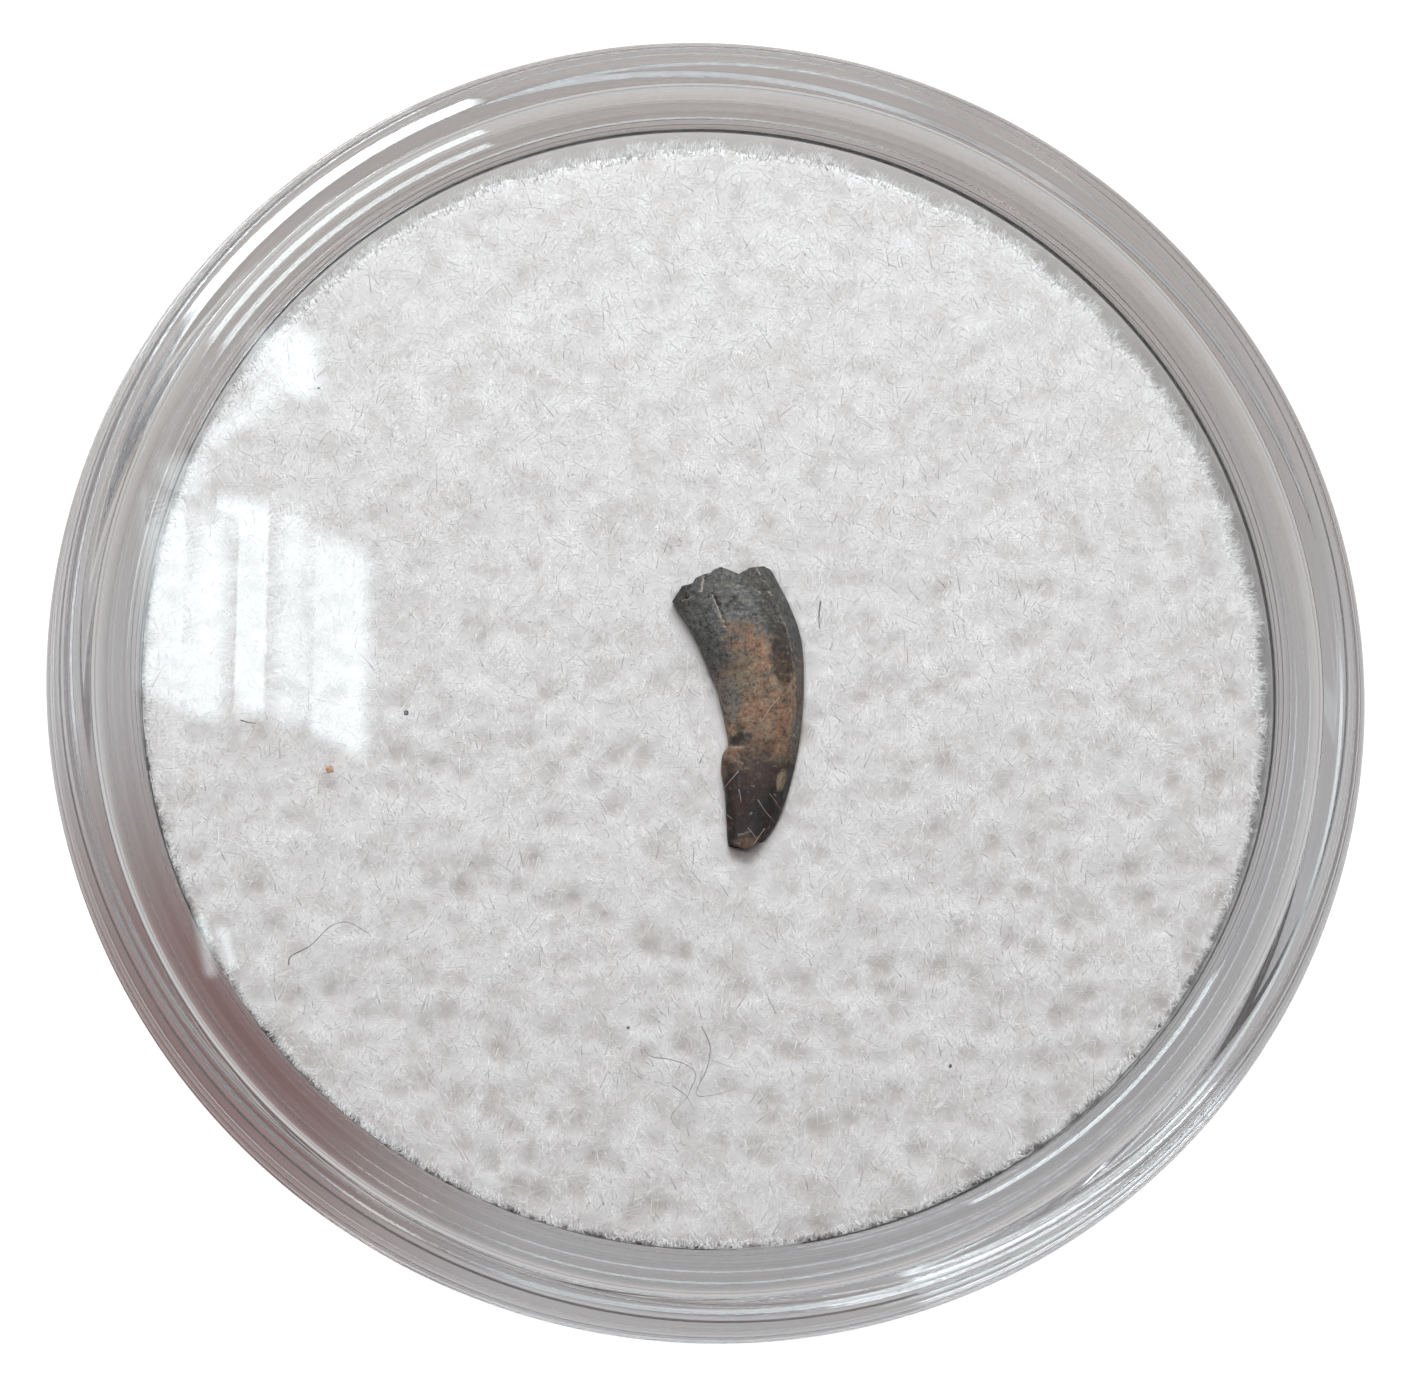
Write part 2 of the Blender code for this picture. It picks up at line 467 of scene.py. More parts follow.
@dataclass(frozen=True)
class FossilEnamel:
    """Mineralised enamel: slate at the broken base, orange-brown in the middle, near black at the tip."""

    name: str = "fossil_enamel"
    slate: Colour = (0.092, 0.094, 0.090)
    slate_light: Colour = (0.190, 0.194, 0.186)
    ink: Colour = (0.011, 0.011, 0.012)
    brown: Colour = (0.216, 0.132, 0.086)
    rust: Colour = (0.318, 0.162, 0.094)
    tan: Colour = (0.400, 0.315, 0.212)
    olive: Colour = (0.186, 0.173, 0.124)
    tip: Colour = (0.007, 0.005, 0.005)
    maroon: Colour = (0.026, 0.011, 0.009)
    # Partly the stone's own dark brown, partly painted shade of the facet past the ridge.
    brown_and_facet_shade: Colour = (0.040, 0.030, 0.024)
    cream: Colour = (0.46, 0.41, 0.33)
    speck: Colour = (0.26, 0.26, 0.235)
    scratches: tuple[tuple[float, ...], ...] = (
        (-0.13, 2.20, 0.02, 1.78, 0.030, 0.85),
        (0.00, 1.84, 0.22, 1.22, 0.036, 0.80),
        (-0.36, 2.76, -0.50, 2.28, 0.040, 0.95),
        (-1.02, 2.08, -0.66, 2.16, 0.034, 0.55),
        (0.74, -1.42, 0.98, -1.38, 0.030, 0.45),
        (0.50, -2.62, 0.78, -2.72, 0.028, 0.35),
        (0.62, -4.72, 1.05, -4.62, 0.050, 0.30),
    )
    clouds_per_mm: float = 1.2
    blots_per_mm: float = 2.9
    grains_per_mm: float = 6.0
    speckles_per_mm: float = 13.0
    dots_per_mm: float = 5.5
    streaks_across: float = 22.0
    streaks_along: float = 2.4
    relief_strength: float = 0.6
    relief_depth: float = 0.02 * MM
    streak_height: float = 0.8
    crack_height: float = 0.9
    polish: Spot = (0.34, 0.58)
    ior: float = 1.5
    gloss: float = 0.22

    def material(self, effects: Effects) -> Material:
        """Builds the enamel from the crown's own along and across values.

        Args:
            effects: The node groups that the finishes use.

        Returns:
            The material.
        """
        material, graph, shader, _ = new_material(self.name)
        place = graph.place()
        along = graph.point_value("along")
        across = graph.point_value("across")
        clouds = graph.noise(place, per_mm(self.clouds_per_mm), 9.0, 0.72)
        blots = graph.noise(place, per_mm(self.blots_per_mm), 7.0, 0.70)
        speckle = graph.noise(place, per_mm(self.speckles_per_mm), 2.0, 0.6)
        flow = graph.add("ShaderNodeCombineXYZ", {0: graph.times(along, self.streaks_along), 1: across})
        streaks = graph.noise(flow.outputs[0], self.streaks_across, 5.0, 0.65)
        fine = graph.noise(place, per_mm(self.grains_per_mm), 6.0, 0.8)
        colour = self._middle(graph, clouds, blots, streaks)
        colour = self._base_end(graph, colour, along, across, clouds, blots)
        colour = self._tip_end(graph, colour, along, clouds, blots)
        colour = self._patches(graph, effects, colour, along, across, blots)
        colour = self._side_ridge(graph, colour, along, across, speckle, blots)
        colour = self._specks(graph, colour, place, speckle, fine, along)
        crack = 0.0
        for x0, y0, x1, y1, width, strength in self.scratches:
            line = graph.group(
                effects.scratch,
                {
                    "Vector": place,
                    "Wander": blots,
                    "Start X": x0 * MM,
                    "Start Y": y0 * MM,
                    "Way X": (x1 - x0) * MM,
                    "Way Y": (y1 - y0) * MM,
                    "Width": width * MM,
                },
            )
            mask = graph.times(line, strength)
            colour = graph.mix(mask, colour, self.cream)
            crack = graph.plus(crack, mask)
        graph.link(colour, shader.inputs["Base Color"])
        graph.link(graph.ramp(blots, 0.35, 0.65, *self.polish), shader.inputs["Roughness"])
        relief = graph.group(
            effects.relief,
            {"Vector": place, "Broad Scale": per_mm(4.0), "Grain Scale": per_mm(20.0), "Grain Share": 0.7},
        )
        height = graph.plus(relief, graph.times(streaks, self.streak_height))
        height = graph.plus(height, graph.times(crack, self.crack_height))
        depth = {"Strength": self.relief_strength, "Distance": self.relief_depth, "Height": height}
        graph.link(graph.add("ShaderNodeBump", depth).outputs[0], shader.inputs["Normal"])
        shader.inputs["IOR"].default_value = self.ior
        shader.inputs["Specular IOR Level"].default_value = self.gloss
        return material

    def _middle(self, graph: Graph, clouds: Socket, blots: Socket, streaks: Socket) -> Socket:
        """Brown and rust, streaked lengthwise, with olive clouds and dark blots.

        Args:
            graph: The material's graph.
            clouds: Broad noise.
            blots: Middling noise.
            streaks: Noise drawn out lengthwise.

        Returns:
            The middle's colour.
        """
        warm = graph.mix(graph.ramp(streaks, 0.38, 0.62), self.brown, self.rust)
        warm = graph.mix(graph.ramp(blots, 0.50, 0.62, 0.0, 0.7), warm, self.tan)
        warm = graph.mix(graph.ramp(clouds, 0.44, 0.58, 0.0, 0.65), warm, self.olive)
        warm = graph.mix(graph.ramp(blots, 0.46, 0.38, 0.0, 0.8), warm, self.slate)
        return graph.mix(graph.ramp(streaks, 0.42, 0.32, 0.0, 0.5), warm, self.slate)

    def _base_end(
        self, graph: Graph, colour: Socket, along: Socket, across: Socket, clouds: Socket, blots: Socket
    ) -> Socket:
        """Slate grey from the broken base, further down at both edges, with fine wavy lines across, and dark
        brown towards the convex side, partly the stone's own and partly painted shade of the facet there.

        Args:
            graph: The material's graph.
            colour: The colour so far.
            along: Share of the way from the broken base to the tip.
            across: Share of the way from the concave to the convex edge.
            clouds: Broad noise.
            blots: Middling noise.

        Returns:
            The colour with the base's grey.
        """
        off_middle = graph.math("ABSOLUTE", graph.minus(across, 0.50))
        edge = graph.ramp(off_middle, 0.16, 0.46, 0.0, 0.12)
        uneven = graph.plus(graph.times(clouds, 0.50), graph.times(blots, 0.50))
        shifted = graph.minus(graph.minus(along, edge), graph.minus(uneven, 0.5))
        mask = graph.ramp(shifted, 0.14, 0.28, 1.0, 0.0)
        wavy = graph.math("MULTIPLY_ADD", clouds, 0.10, along)
        grid = graph.add(
            "ShaderNodeCombineXYZ", {0: graph.times(across, 9.0), 1: graph.times(wavy, 130.0)}
        )
        lines = graph.noise(grid.outputs[0], 1.0, 3.0)
        grey = graph.mix(graph.ramp(lines, 0.42, 0.66), self.slate, self.slate_light)
        grey = graph.mix(graph.ramp(blots, 0.47, 0.36, 0.0, 0.9), grey, self.ink)
        # Towards the convex side the grey darkens to a dark brown: partly the stone's own tone, partly
        # painted shade of the facet.
        side = graph.times(graph.ramp(across, 0.62, 0.72), graph.ramp(blots, 0.40, 0.56, 0.2, 0.8))
        grey = graph.mix(side, grey, self.brown_and_facet_shade)
        return graph.mix(mask, colour, grey)

    def _tip_end(self, graph: Graph, colour: Socket, along: Socket, clouds: Socket, blots: Socket) -> Socket:
        """Near black with maroon clouds towards the tip.

        Args:
            graph: The material's graph.
            colour: The colour so far.
            along: Share of the way from the broken base to the tip.
            clouds: Broad noise.
            blots: Middling noise.

        Returns:
            The colour with the dark tip.
        """
        uneven = graph.plus(graph.times(clouds, 0.45), graph.times(blots, 0.40))
        mask = graph.ramp(graph.plus(along, graph.minus(uneven, 0.425)), 0.63, 0.79)
        dark = graph.mix(graph.ramp(clouds, 0.45, 0.58), self.tip, self.maroon)
        dark = graph.mix(graph.ramp(blots, 0.46, 0.38, 0.0, 0.8), dark, self.ink)
        dark = graph.mix(graph.ramp(blots, 0.60, 0.70, 0.0, 0.35), dark, self.brown)
        return graph.mix(mask, colour, dark)

    def _patches(
        self, graph: Graph, effects: Effects, colour: Socket, along: Socket, across: Socket, blots: Socket
    ) -> Socket:
        """The dark and pale patches that sit at their own places on the crown.

        Args:
            graph: The material's graph.
            effects: The node groups that the finishes use.
            colour: The colour so far.
            along: Share of the way from the broken base to the tip.
            across: Share of the way from the concave to the convex edge.
            blots: Middling noise.

        Returns:
            The colour with the patches.
        """
        spots = (
            (0.33, 0.74, 0.095, 0.14, 0.78, self.ink),
            (0.60, 0.15, 0.032, 0.15, 0.90, self.ink),
            (0.44, 0.08, 0.100, 0.16, 0.55, self.slate_light),
            (0.26, 0.12, 0.070, 0.14, 0.60, self.slate),
            (0.57, 0.72, 0.060, 0.12, 0.45, self.rust),
            (0.66, 0.42, 0.060, 0.24, 0.60, self.maroon),
            (0.77, 0.83, 0.045, 0.08, 0.75, self.tan),
            (0.985, 0.45, 0.018, 0.35, 0.55, self.brown),
        )
        for centre_along, centre_across, reach_along, reach_across, strength, tone in spots:
            spot = graph.group(
                effects.patch,
                {
                    "Along": along,
                    "Across": across,
                    "Ragged": blots,
                    "Centre Along": centre_along,
                    "Centre Across": centre_across,
                    "Reach Along": reach_along,
                    "Reach Across": reach_across,
                },
            )
            colour = graph.mix(graph.times(spot, strength), colour, tone)
        return colour

    def _side_ridge(
        self, graph: Graph, colour: Socket, along: Socket, across: Socket, speckle: Socket, blots: Socket
    ) -> Socket:
        """A pale broken line on the ridge near the convex edge, and a dark band beyond it, partly slate and
        partly painted shade of the facet that slopes away there.

        Args:
            graph: The material's graph.
            colour: The colour so far.
            along: Share of the way from the broken base to the tip.
            across: Share of the way from the concave to the convex edge.
            speckle: Very fine noise.
            blots: Middling noise.

        Returns:
            The colour with the line and the band.
        """
        ridge = graph.math("MULTIPLY_ADD", along, 0.12, 0.82)
        ridge = graph.plus(ridge, graph.times(graph.minus(blots, 0.5), 0.05))
        off = graph.minus(across, ridge)
        # Painted shade in part: the band past the ridge is darkened to slate, partly the stone's own tone and
        # partly the facet's shade.
        beyond = graph.times(graph.ramp(off, 0.0, 0.03), graph.ramp(blots, 0.36, 0.56, 0.95, 0.55))
        beyond = graph.times(beyond, graph.ramp(along, 0.55, 0.68, 1.0, 0.6))
        colour = graph.mix(beyond, colour, self.slate)
        line = graph.ramp(graph.math("ABSOLUTE", off), 0.004, 0.020, 1.0, 0.0)
        line = graph.times(line, graph.ramp(speckle, 0.46, 0.58))
        line = graph.times(line, graph.ramp(blots, 0.44, 0.54, 0.15, 0.95))
        line = graph.times(line, graph.ramp(along, 0.60, 0.70, 1.0, 0.0))
        return graph.mix(line, colour, self.cream)

    def _specks(
        self, graph: Graph, colour: Socket, place: Socket, speckle: Socket, fine: Socket, along: Socket
    ) -> Socket:
        """A dark and a pale grain, and tiny pale specks, all over.

        Args:
            graph: The material's graph.
            colour: The colour so far.
            place: Coordinates fixed to the tooth.
            speckle: Very fine noise.
            fine: Fine, rough noise.
            along: Share of the way from the broken base to the tip.

        Returns:
            The colour with the grain and the specks.
        """
        colour = graph.mix(graph.ramp(fine, 0.52, 0.36, 0.0, 0.80), colour, self.ink)
        pale = graph.times(graph.ramp(fine, 0.54, 0.68), graph.ramp(along, 0.62, 0.74, 0.50, 0.10))
        colour = graph.mix(pale, colour, self.tan)
        colour = graph.mix(graph.ramp(speckle, 0.44, 0.34, 0.0, 0.5), colour, self.ink)
        dots = graph.noise(place, per_mm(self.dots_per_mm), 3.0, 0.7)
        shown = graph.times(graph.ramp(dots, 0.63, 0.70), graph.ramp(speckle, 0.42, 0.55, 0.25, 0.75))
        return graph.mix(shown, colour, self.speck)


def mesh_object(
    name: str, vertices: np.ndarray, triangles: np.ndarray, material: Material
) -> Object:
    """A smooth-shaded mesh object from arrays.

    Args:
        name: The object's name.
        vertices: Points in metres, one a row.
        triangles: Vertex numbers, three a row, facing out.
        material: Its finish.

    Returns:
        The object, linked to the scene.
    """
    mesh = bpy.data.meshes.new(name)
    mesh.vertices.add(len(vertices))
    mesh.vertices.foreach_set("co", vertices.astype(np.float32).ravel())
    mesh.loops.add(triangles.size)
    mesh.loops.foreach_set("vertex_index", triangles.astype(np.int32).ravel())
    mesh.polygons.add(len(triangles))
    mesh.polygons.foreach_set("loop_start", np.arange(0, triangles.size, 3, dtype=np.int32))
    mesh.update(calc_edges=True)
    mesh.materials.append(material)
    mesh.shade_smooth()
    obj = bpy.data.objects.new(name, mesh)
    bpy.context.scene.collection.objects.link(obj)
    return obj


def points_of(mesh: Mesh) -> np.ndarray:
    """Every point of a mesh in metres, one a row.

    Args:
        mesh: The mesh.

    Returns:
        The points.
    """
    points = np.empty(len(mesh.vertices) * 3, np.float32)
    mesh.vertices.foreach_get("co", points)
    return points.reshape(-1, 3)


def normals_of(mesh: Mesh) -> np.ndarray:
    """The outward direction at every point of a mesh, one a row.

    Args:
        mesh: The mesh.

    Returns:
        The directions.
    """
    normals = np.empty(len(mesh.vertices) * 3, np.float32)
    mesh.vertex_normals.foreach_get("vector", normals)
    return normals.reshape(-1, 3)


def move_points(mesh: Mesh, points: np.ndarray) -> None:
    """Puts every point of a mesh in a new place."""
    mesh.vertices.foreach_set("co", points.astype(np.float32).ravel())
    mesh.update()


def keep_values(mesh: Mesh, name: str, values: np.ndarray) -> None:
    """Stores a value at every point of a mesh, for its finish to read."""
    layer = mesh.attributes.new(name, "FLOAT", "POINT")
    layer.data.foreach_set("value", values.astype(np.float32))


def ring_triangles(rings: int, around: int) -> np.ndarray:
    """Triangles between rings of points that run anticlockwise and go up from ring to ring.

    Args:
        rings: How many rings there are.
        around: How many points each ring has.

    Returns:
        The triangles.
    """
    ring = np.arange(rings - 1)[:, None] * around
    here = np.arange(around)[None, :]
    after = (here + 1) % around
    a, b = ring + here, ring + after
    c, d = b + around, a + around
    return np.concatenate([np.stack([a, b, c], -1).reshape(-1, 3), np.stack([a, c, d], -1).reshape(-1, 3)])


def cap_triangles(centre: int, first: int, around: int, up: bool) -> np.ndarray:
    """A fan from a centre vertex to a ring.

    Args:
        centre: The centre's vertex number.
        first: The ring's first vertex number.
        around: How many points the ring has.
        up: Whether the fan faces up.

    Returns:
        The triangles.
    """
    here = first + np.arange(around)
    after = first + (np.arange(around) + 1) % around
    pair = (here, after) if up else (after, here)
    return np.stack([np.full(around, centre), *pair], -1)


def closed_tube(rings: int, around: int) -> np.ndarray:
    """Triangles of rings that run down from one end, closed by a centre point at each end.

    Args:
        rings: How many rings there are.
        around: How many points each of them has.

    Returns:
        The triangles; the two centre points come after the rings' own points.
    """
    count = rings * around
    sides = ring_triangles(rings, around)[:, ::-1]
    top = cap_triangles(count, 0, around, True)
    bottom = cap_triangles(count + 1, count - around, around, False)
    return np.concatenate([sides, top, bottom])


def seat(obj: Object, slot: Slot, *nodes: str) -> Object:
    """Makes a piece ride on the object and hides the nodes that it stands for.

    Args:
        obj: The piece.
        slot: Its material slot; not used.
        nodes: The nodes that it stands for, if any.

    Returns:
        The same piece.
    """
    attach(obj, BODY)
    if nodes:
        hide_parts(*nodes)
    log.info("%s: %d triangles", obj.name, len(obj.data.polygons))
    return obj


def arc(radius: float, height: float, bend: float, start: float, end: float, steps: int = 14) -> list[Spot]:
    """Points (radius, height) round a corner of a turned profile.

    Args:
        radius: How far the corner's centre is from the axis.
        height: The centre's height.
        bend: The corner's own radius.
        start: Where it starts, in degrees from outward.
        end: Where it ends.
        steps: How many stretches it has.

    Returns:
        The points in order.
    """
    angles = np.radians(np.linspace(start, end, steps + 1))
    return [(radius + bend * math.cos(a), height + bend * math.sin(a)) for a in angles]


@dataclass
class TurnedShell:
    """A clear moulding turned round the box's axis, very slightly wavy."""

    turns: int = 256
    support: float = 0.04 * MM
    flat_step: float = 1.2 * MM
    waviness: float = 0.0025 * MM
    waves_per_mm: float = 0.16
    sharp_angle: float = math.radians(50)

    def flat(self, start: float, end: float, height: float) -> list[Spot]:
        """Points across a flat face, from one radius to another, both left out."""
        count = max(2, int(abs(end - start) / self.flat_step))
        return [(float(r), height) for r in np.linspace(start, end, count + 1)[1:-1]]

    def turned(self, name: str, profile: list[Spot], material: Material) -> Object:
        """Turns a profile that starts and ends on the axis and runs down its outer side.

        Args:
            name: The piece's name.
            profile: Points (radius, height) in order, the first and the last on the axis.
            material: Its finish.

        Returns:
            The shell.
        """
        inner = np.array(profile[1:-1])
        angles = np.linspace(0, 2 * math.pi, self.turns, endpoint=False)
        rings = np.stack(
            [
                inner[:, :1] * np.cos(angles),
                inner[:, :1] * np.sin(angles),
                np.repeat(inner[:, 1:], self.turns, axis=1),
            ],
            -1,
        )
        vertices = np.concatenate([rings.reshape(-1, 3), [(0, 0, profile[0][1]), (0, 0, profile[-1][1])]])
        obj = mesh_object(name, vertices, closed_tube(len(inner), self.turns), material)
        self._wave(obj.data)
        obj.data.set_sharp_from_angle(angle=self.sharp_angle)
        obj.visible_shadow = False
        return obj

    def _wave(self, mesh: Mesh) -> None:
        """Moves the surface inwards by a smooth, small and uneven amount.

        Args:
            mesh: The mesh.
        """
        points, normals = points_of(mesh).astype(float), normals_of(mesh)
        depth = [0.5 + 0.5 * noise.noise(Vector(point) * self.waves_per_mm / MM) for point in points]
        points -= normals * (self.waviness * np.array(depth))[:, None]
        move_points(mesh, points)


@dataclass
class Lid(TurnedShell):
    """The clear cap: flat top, rounded edge, skirt."""

    thickness: float = 1.2 * MM
    edge_round: float = 1.1 * MM
    inner_round: float = 0.5 * MM
    lip_round: float = 0.25 * MM

    def build(self, finish: ClearPlastic, effects: Effects) -> Object:
        """Builds the lid in the place of its node.

        Args:
            finish: The plastic.
            effects: The node groups that the finishes use.

        Returns:
            The lid.
        """
        low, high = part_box("box_lid")
        radius, top, bottom = high.x, high.z, low.z
        bore, ceiling = radius - self.thickness, top - self.thickness
        edge = radius - self.edge_round
        corner = bore - self.inner_round
        lip = self.lip_round
        profile = [(0.0, top), *self.flat(0.0, edge, top), (edge - self.support, top)]
        profile += arc(edge, top - self.edge_round, self.edge_round, 90, 0)
        profile += [(radius, top - self.edge_round - self.support), (radius, bottom + lip + self.support)]
        profile += arc(radius - lip, bottom + lip, lip, 0, -90, 5)
        profile += arc(bore + lip, bottom + lip, lip, -90, -180, 5)
        profile += [(bore, bottom + lip + self.support), (bore, ceiling - self.inner_round - self.support)]
        profile += arc(corner, ceiling - self.inner_round, self.inner_round, 0, 90, 8)
        profile += [(corner - self.support, ceiling), *self.flat(corner, 0.0, ceiling), (0.0, ceiling)]
        lid = self.turned("lid_shell", profile, finish.material(effects))
        return seat(lid, Slot.LID, "box_lid")


@dataclass
class Base(TurnedShell):
    """The clear cup: foot, ledge, neck with a rounded rim, and the inside."""

    neck_radius: float = 17.45 * MM
    cup_radius: float = 16.45 * MM
    floor: float = 1.2 * MM
    floor_round: float = 0.8 * MM
    foot_round: float = 0.6 * MM
    ledge: float = 5.05 * MM
    lip_round: float = 0.25 * MM

    def build(self, finish: ClearPlastic, effects: Effects) -> Object:
        """Builds the base in the place of its node.

        Args:
            finish: The plastic.
            effects: The node groups that the finishes use.

        Returns:
            The base.
        """
        _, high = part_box("box_base")
        radius, rim = high.x, high.z
        rim_round = (self.neck_radius - self.cup_radius) / 2
        middle = self.cup_radius + rim_round
        lip = self.lip_round
        near, up = self.support, self.floor + self.floor_round
        profile = [(0.0, self.floor), (self.cup_radius * 0.5, self.floor)]
        profile += [(self.cup_radius - self.floor_round - near, self.floor)]
        profile += arc(self.cup_radius - self.floor_round, up, self.floor_round, -90, 0, 8)
        profile += [(self.cup_radius, up + near), (self.cup_radius, rim - rim_round - near)]
        profile += arc(middle, rim - rim_round, rim_round, 180, 0, 16)
        profile += [(self.neck_radius, rim - rim_round - near), (self.neck_radius, self.ledge + near)]
        profile += [(self.neck_radius, self.ledge), (self.neck_radius + near, self.ledge)]
        profile += arc(radius - lip, self.ledge - lip, lip, 90, 0, 5)
        profile += [(radius, self.ledge - lip - near), (radius, self.foot_round + near)]
        profile += arc(radius - self.foot_round, self.foot_round, self.foot_round, 0, -90, 8)
        profile += [(radius - self.foot_round - near, 0.0), (radius * 0.5, 0.0), (0.0, 0.0)]
        base = self.turned("base_shell", profile, finish.material(effects))
        return seat(base, Slot.BASE, "box_base")


def smooth_line(points: Sequence[Spot], count: int) -> np.ndarray:
    """Evenly spaced points on a smooth curve through the given ones.

    Args:
        points: The places that the curve passes through, in order.
        count: How many points to return.

    Returns:
        The points, one a row.
    """
    given = np.array(points, float)
    guides = np.vstack([2 * given[0] - given[1], given, 2 * given[-1] - given[-2]])
    dense = []
    for a, b, c, d in zip(guides, guides[1:], guides[2:], guides[3:]):
        for s in np.linspace(0, 1, CURVE_STEPS, endpoint=False):
            place = 2 * b + (c - a) * s + (2 * a - 5 * b + 4 * c - d) * s**2
            dense.append(0.5 * (place + (3 * b - a - 3 * c + d) * s**3))
    dense = np.array([*dense, given[-1]])
    length = np.concatenate([[0], np.cumsum(np.linalg.norm(np.diff(dense, axis=0), axis=1))])
    wanted = np.linspace(0, length[-1], count)
    return np.column_stack([np.interp(wanted, length, column) for column in dense.T])


@dataclass
class Tooth:
    """The fossil crown, lying on its side, with its broken base towards +Y."""

    concave_edge: tuple[Spot, ...] = (
        (-1.26, 2.12), (-0.73, 1.29), (-0.29, 0.38), (0.06, -0.51), (0.28, -1.46), (0.39, -2.12),
        (0.24, -2.36), (0.20, -2.85), (0.31, -3.62), (0.37, -4.60), (0.41, -4.97),
    )
    convex_edge: tuple[Spot, ...] = (
        (1.75, 2.93), (2.16, 2.13), (2.50, 1.20), (2.60, 0.10), (2.55, -1.23), (2.40, -2.33),
        (2.13, -3.42), (1.83, -4.24), (1.48, -4.80),
    )
    base_break: tuple[Spot, ...] = (
        (0.00, 0.0), (0.11, 0.28), (0.20, 0.25), (0.24, 0.37), (0.32, 0.42), (0.39, 0.41), (0.41, 0.48),
        (0.49, 0.51), (0.58, 0.32), (0.64, 0.19), (0.70, 0.20), (0.75, 0.31), (0.85, 0.30),
        (0.91, 0.32), (0.98, 0.20), (1.00, 0.0),
    )
    tip_break: tuple[Spot, ...] = ((0.00, 0.0), (0.25, 0.17), (0.45, 0.24), (0.69, 0.10), (1.00, 0.0))
    thickness: tuple[Spot, ...] = ((0.0, 1.55), (0.2, 1.7), (0.5, 1.5), (0.8, 1.15), (1.0, 0.55))
    cracks: tuple[tuple[float, ...], ...] = (
        (-0.13, 2.20, 0.20, 1.24, 0.070),
        (-0.36, 2.74, -0.50, 2.30, 0.080),
    )
    middle: float = 13.65
    tip_drop: float = 0.15
    break_reach: float = 0.1
    section_power: float = 0.55
    ridge: float = 0.84
    edge_points: int = 400
    outline_points: int = 60
    outline_columns: int = 24
    stations: int = 300
    columns: int = 104
    nearest_reach: float = 0.06
    seed: float = 3.7
    sharp_angle: float = math.radians(55)
    base_hollow: float = 0.10
    tip_hollow: float = 0.05
    end_shares: tuple[float, ...] = (0.93, 0.8, 0.6, 0.35, 0.12)
    end_roughness: float = 0.05
    ridge_height: float = 0.030
    ridge_width: float = 0.018
    line_height: float = 0.007
    lump_height: float = 0.022
    pit_depth: float = 0.012
    chip_height: float = 0.045
    crack_depth: float = 0.045
    edge_relief: float = 0.35

    def outline(self) -> np.ndarray:
        """The crown's outline seen from above, in millimetres, anticlockwise.

        Returns:
            The outline's corners, one a row.
        """
        columns = np.linspace(0, 1, self.outline_columns)
        base = self._edge_places(np.array([0.0]), columns)
        tip = self._edge_places(np.array([1.0]), columns)
        left = smooth_line(self.concave_edge, self.outline_points)
        right = smooth_line(self.convex_edge, self.outline_points)
        return np.concatenate([left, tip[0], right[::-1], base[0][::-1]])

    def _edge_places(self, along: np.ndarray, across: np.ndarray) -> np.ndarray:
        """Places in the plan, in millimetres, at each share along and across the crown.

        Args:
            along: Shares of the way from the broken base to the tip.
            across: Shares of the way from the concave to the convex edge.

        Returns:
            The places.
        """
        dense = np.linspace(0, 1, self.edge_points)
        left, right = (smooth_line(edge, self.edge_points) for edge in (self.concave_edge, self.convex_edge))
        start = np.column_stack([np.interp(along, dense, left[:, i]) for i in range(2)])
        end = np.column_stack([np.interp(along, dense, right[:, i]) for i in range(2)])
        unit = (end - start) / np.linalg.norm(end - start, axis=1)[:, None]
        out = np.column_stack([-unit[:, 1], unit[:, 0]])
        base_share = np.clip(1 - along / self.break_reach, 0, 1)
        tip_share = np.clip(1 - (1 - along) / self.break_reach, 0, 1)
        past = np.outer(base_share, np.interp(across, *zip(*self.base_break)))
        past = past - np.outer(tip_share, np.interp(across, *zip(*self.tip_break)))
        places = start[:, None] + (end - start)[:, None] * across[None, :, None]
        return places + out[:, None] * past[..., None]

    def _section(self, across: np.ndarray, ridged: bool) -> np.ndarray:
        """Share of the half thickness across the crown.

        Args:
            across: Share of the way from the concave to the convex edge.
            ridged: Whether this side has the ridge near the convex edge.

        Returns:
            The share at each place.
        """
        height = (1 - (2 * across - 1) ** 2).clip(0) ** self.section_power
        if ridged:
            shoulder = (1 - (2 * self.ridge - 1) ** 2) ** self.section_power
            facet = shoulder * (1 - across) / (1 - self.ridge)
            height = np.where(across > self.ridge, facet, height)
            height = height + self.ridge_height * np.exp(-(((across - self.ridge) / self.ridge_width) ** 2))
        return height

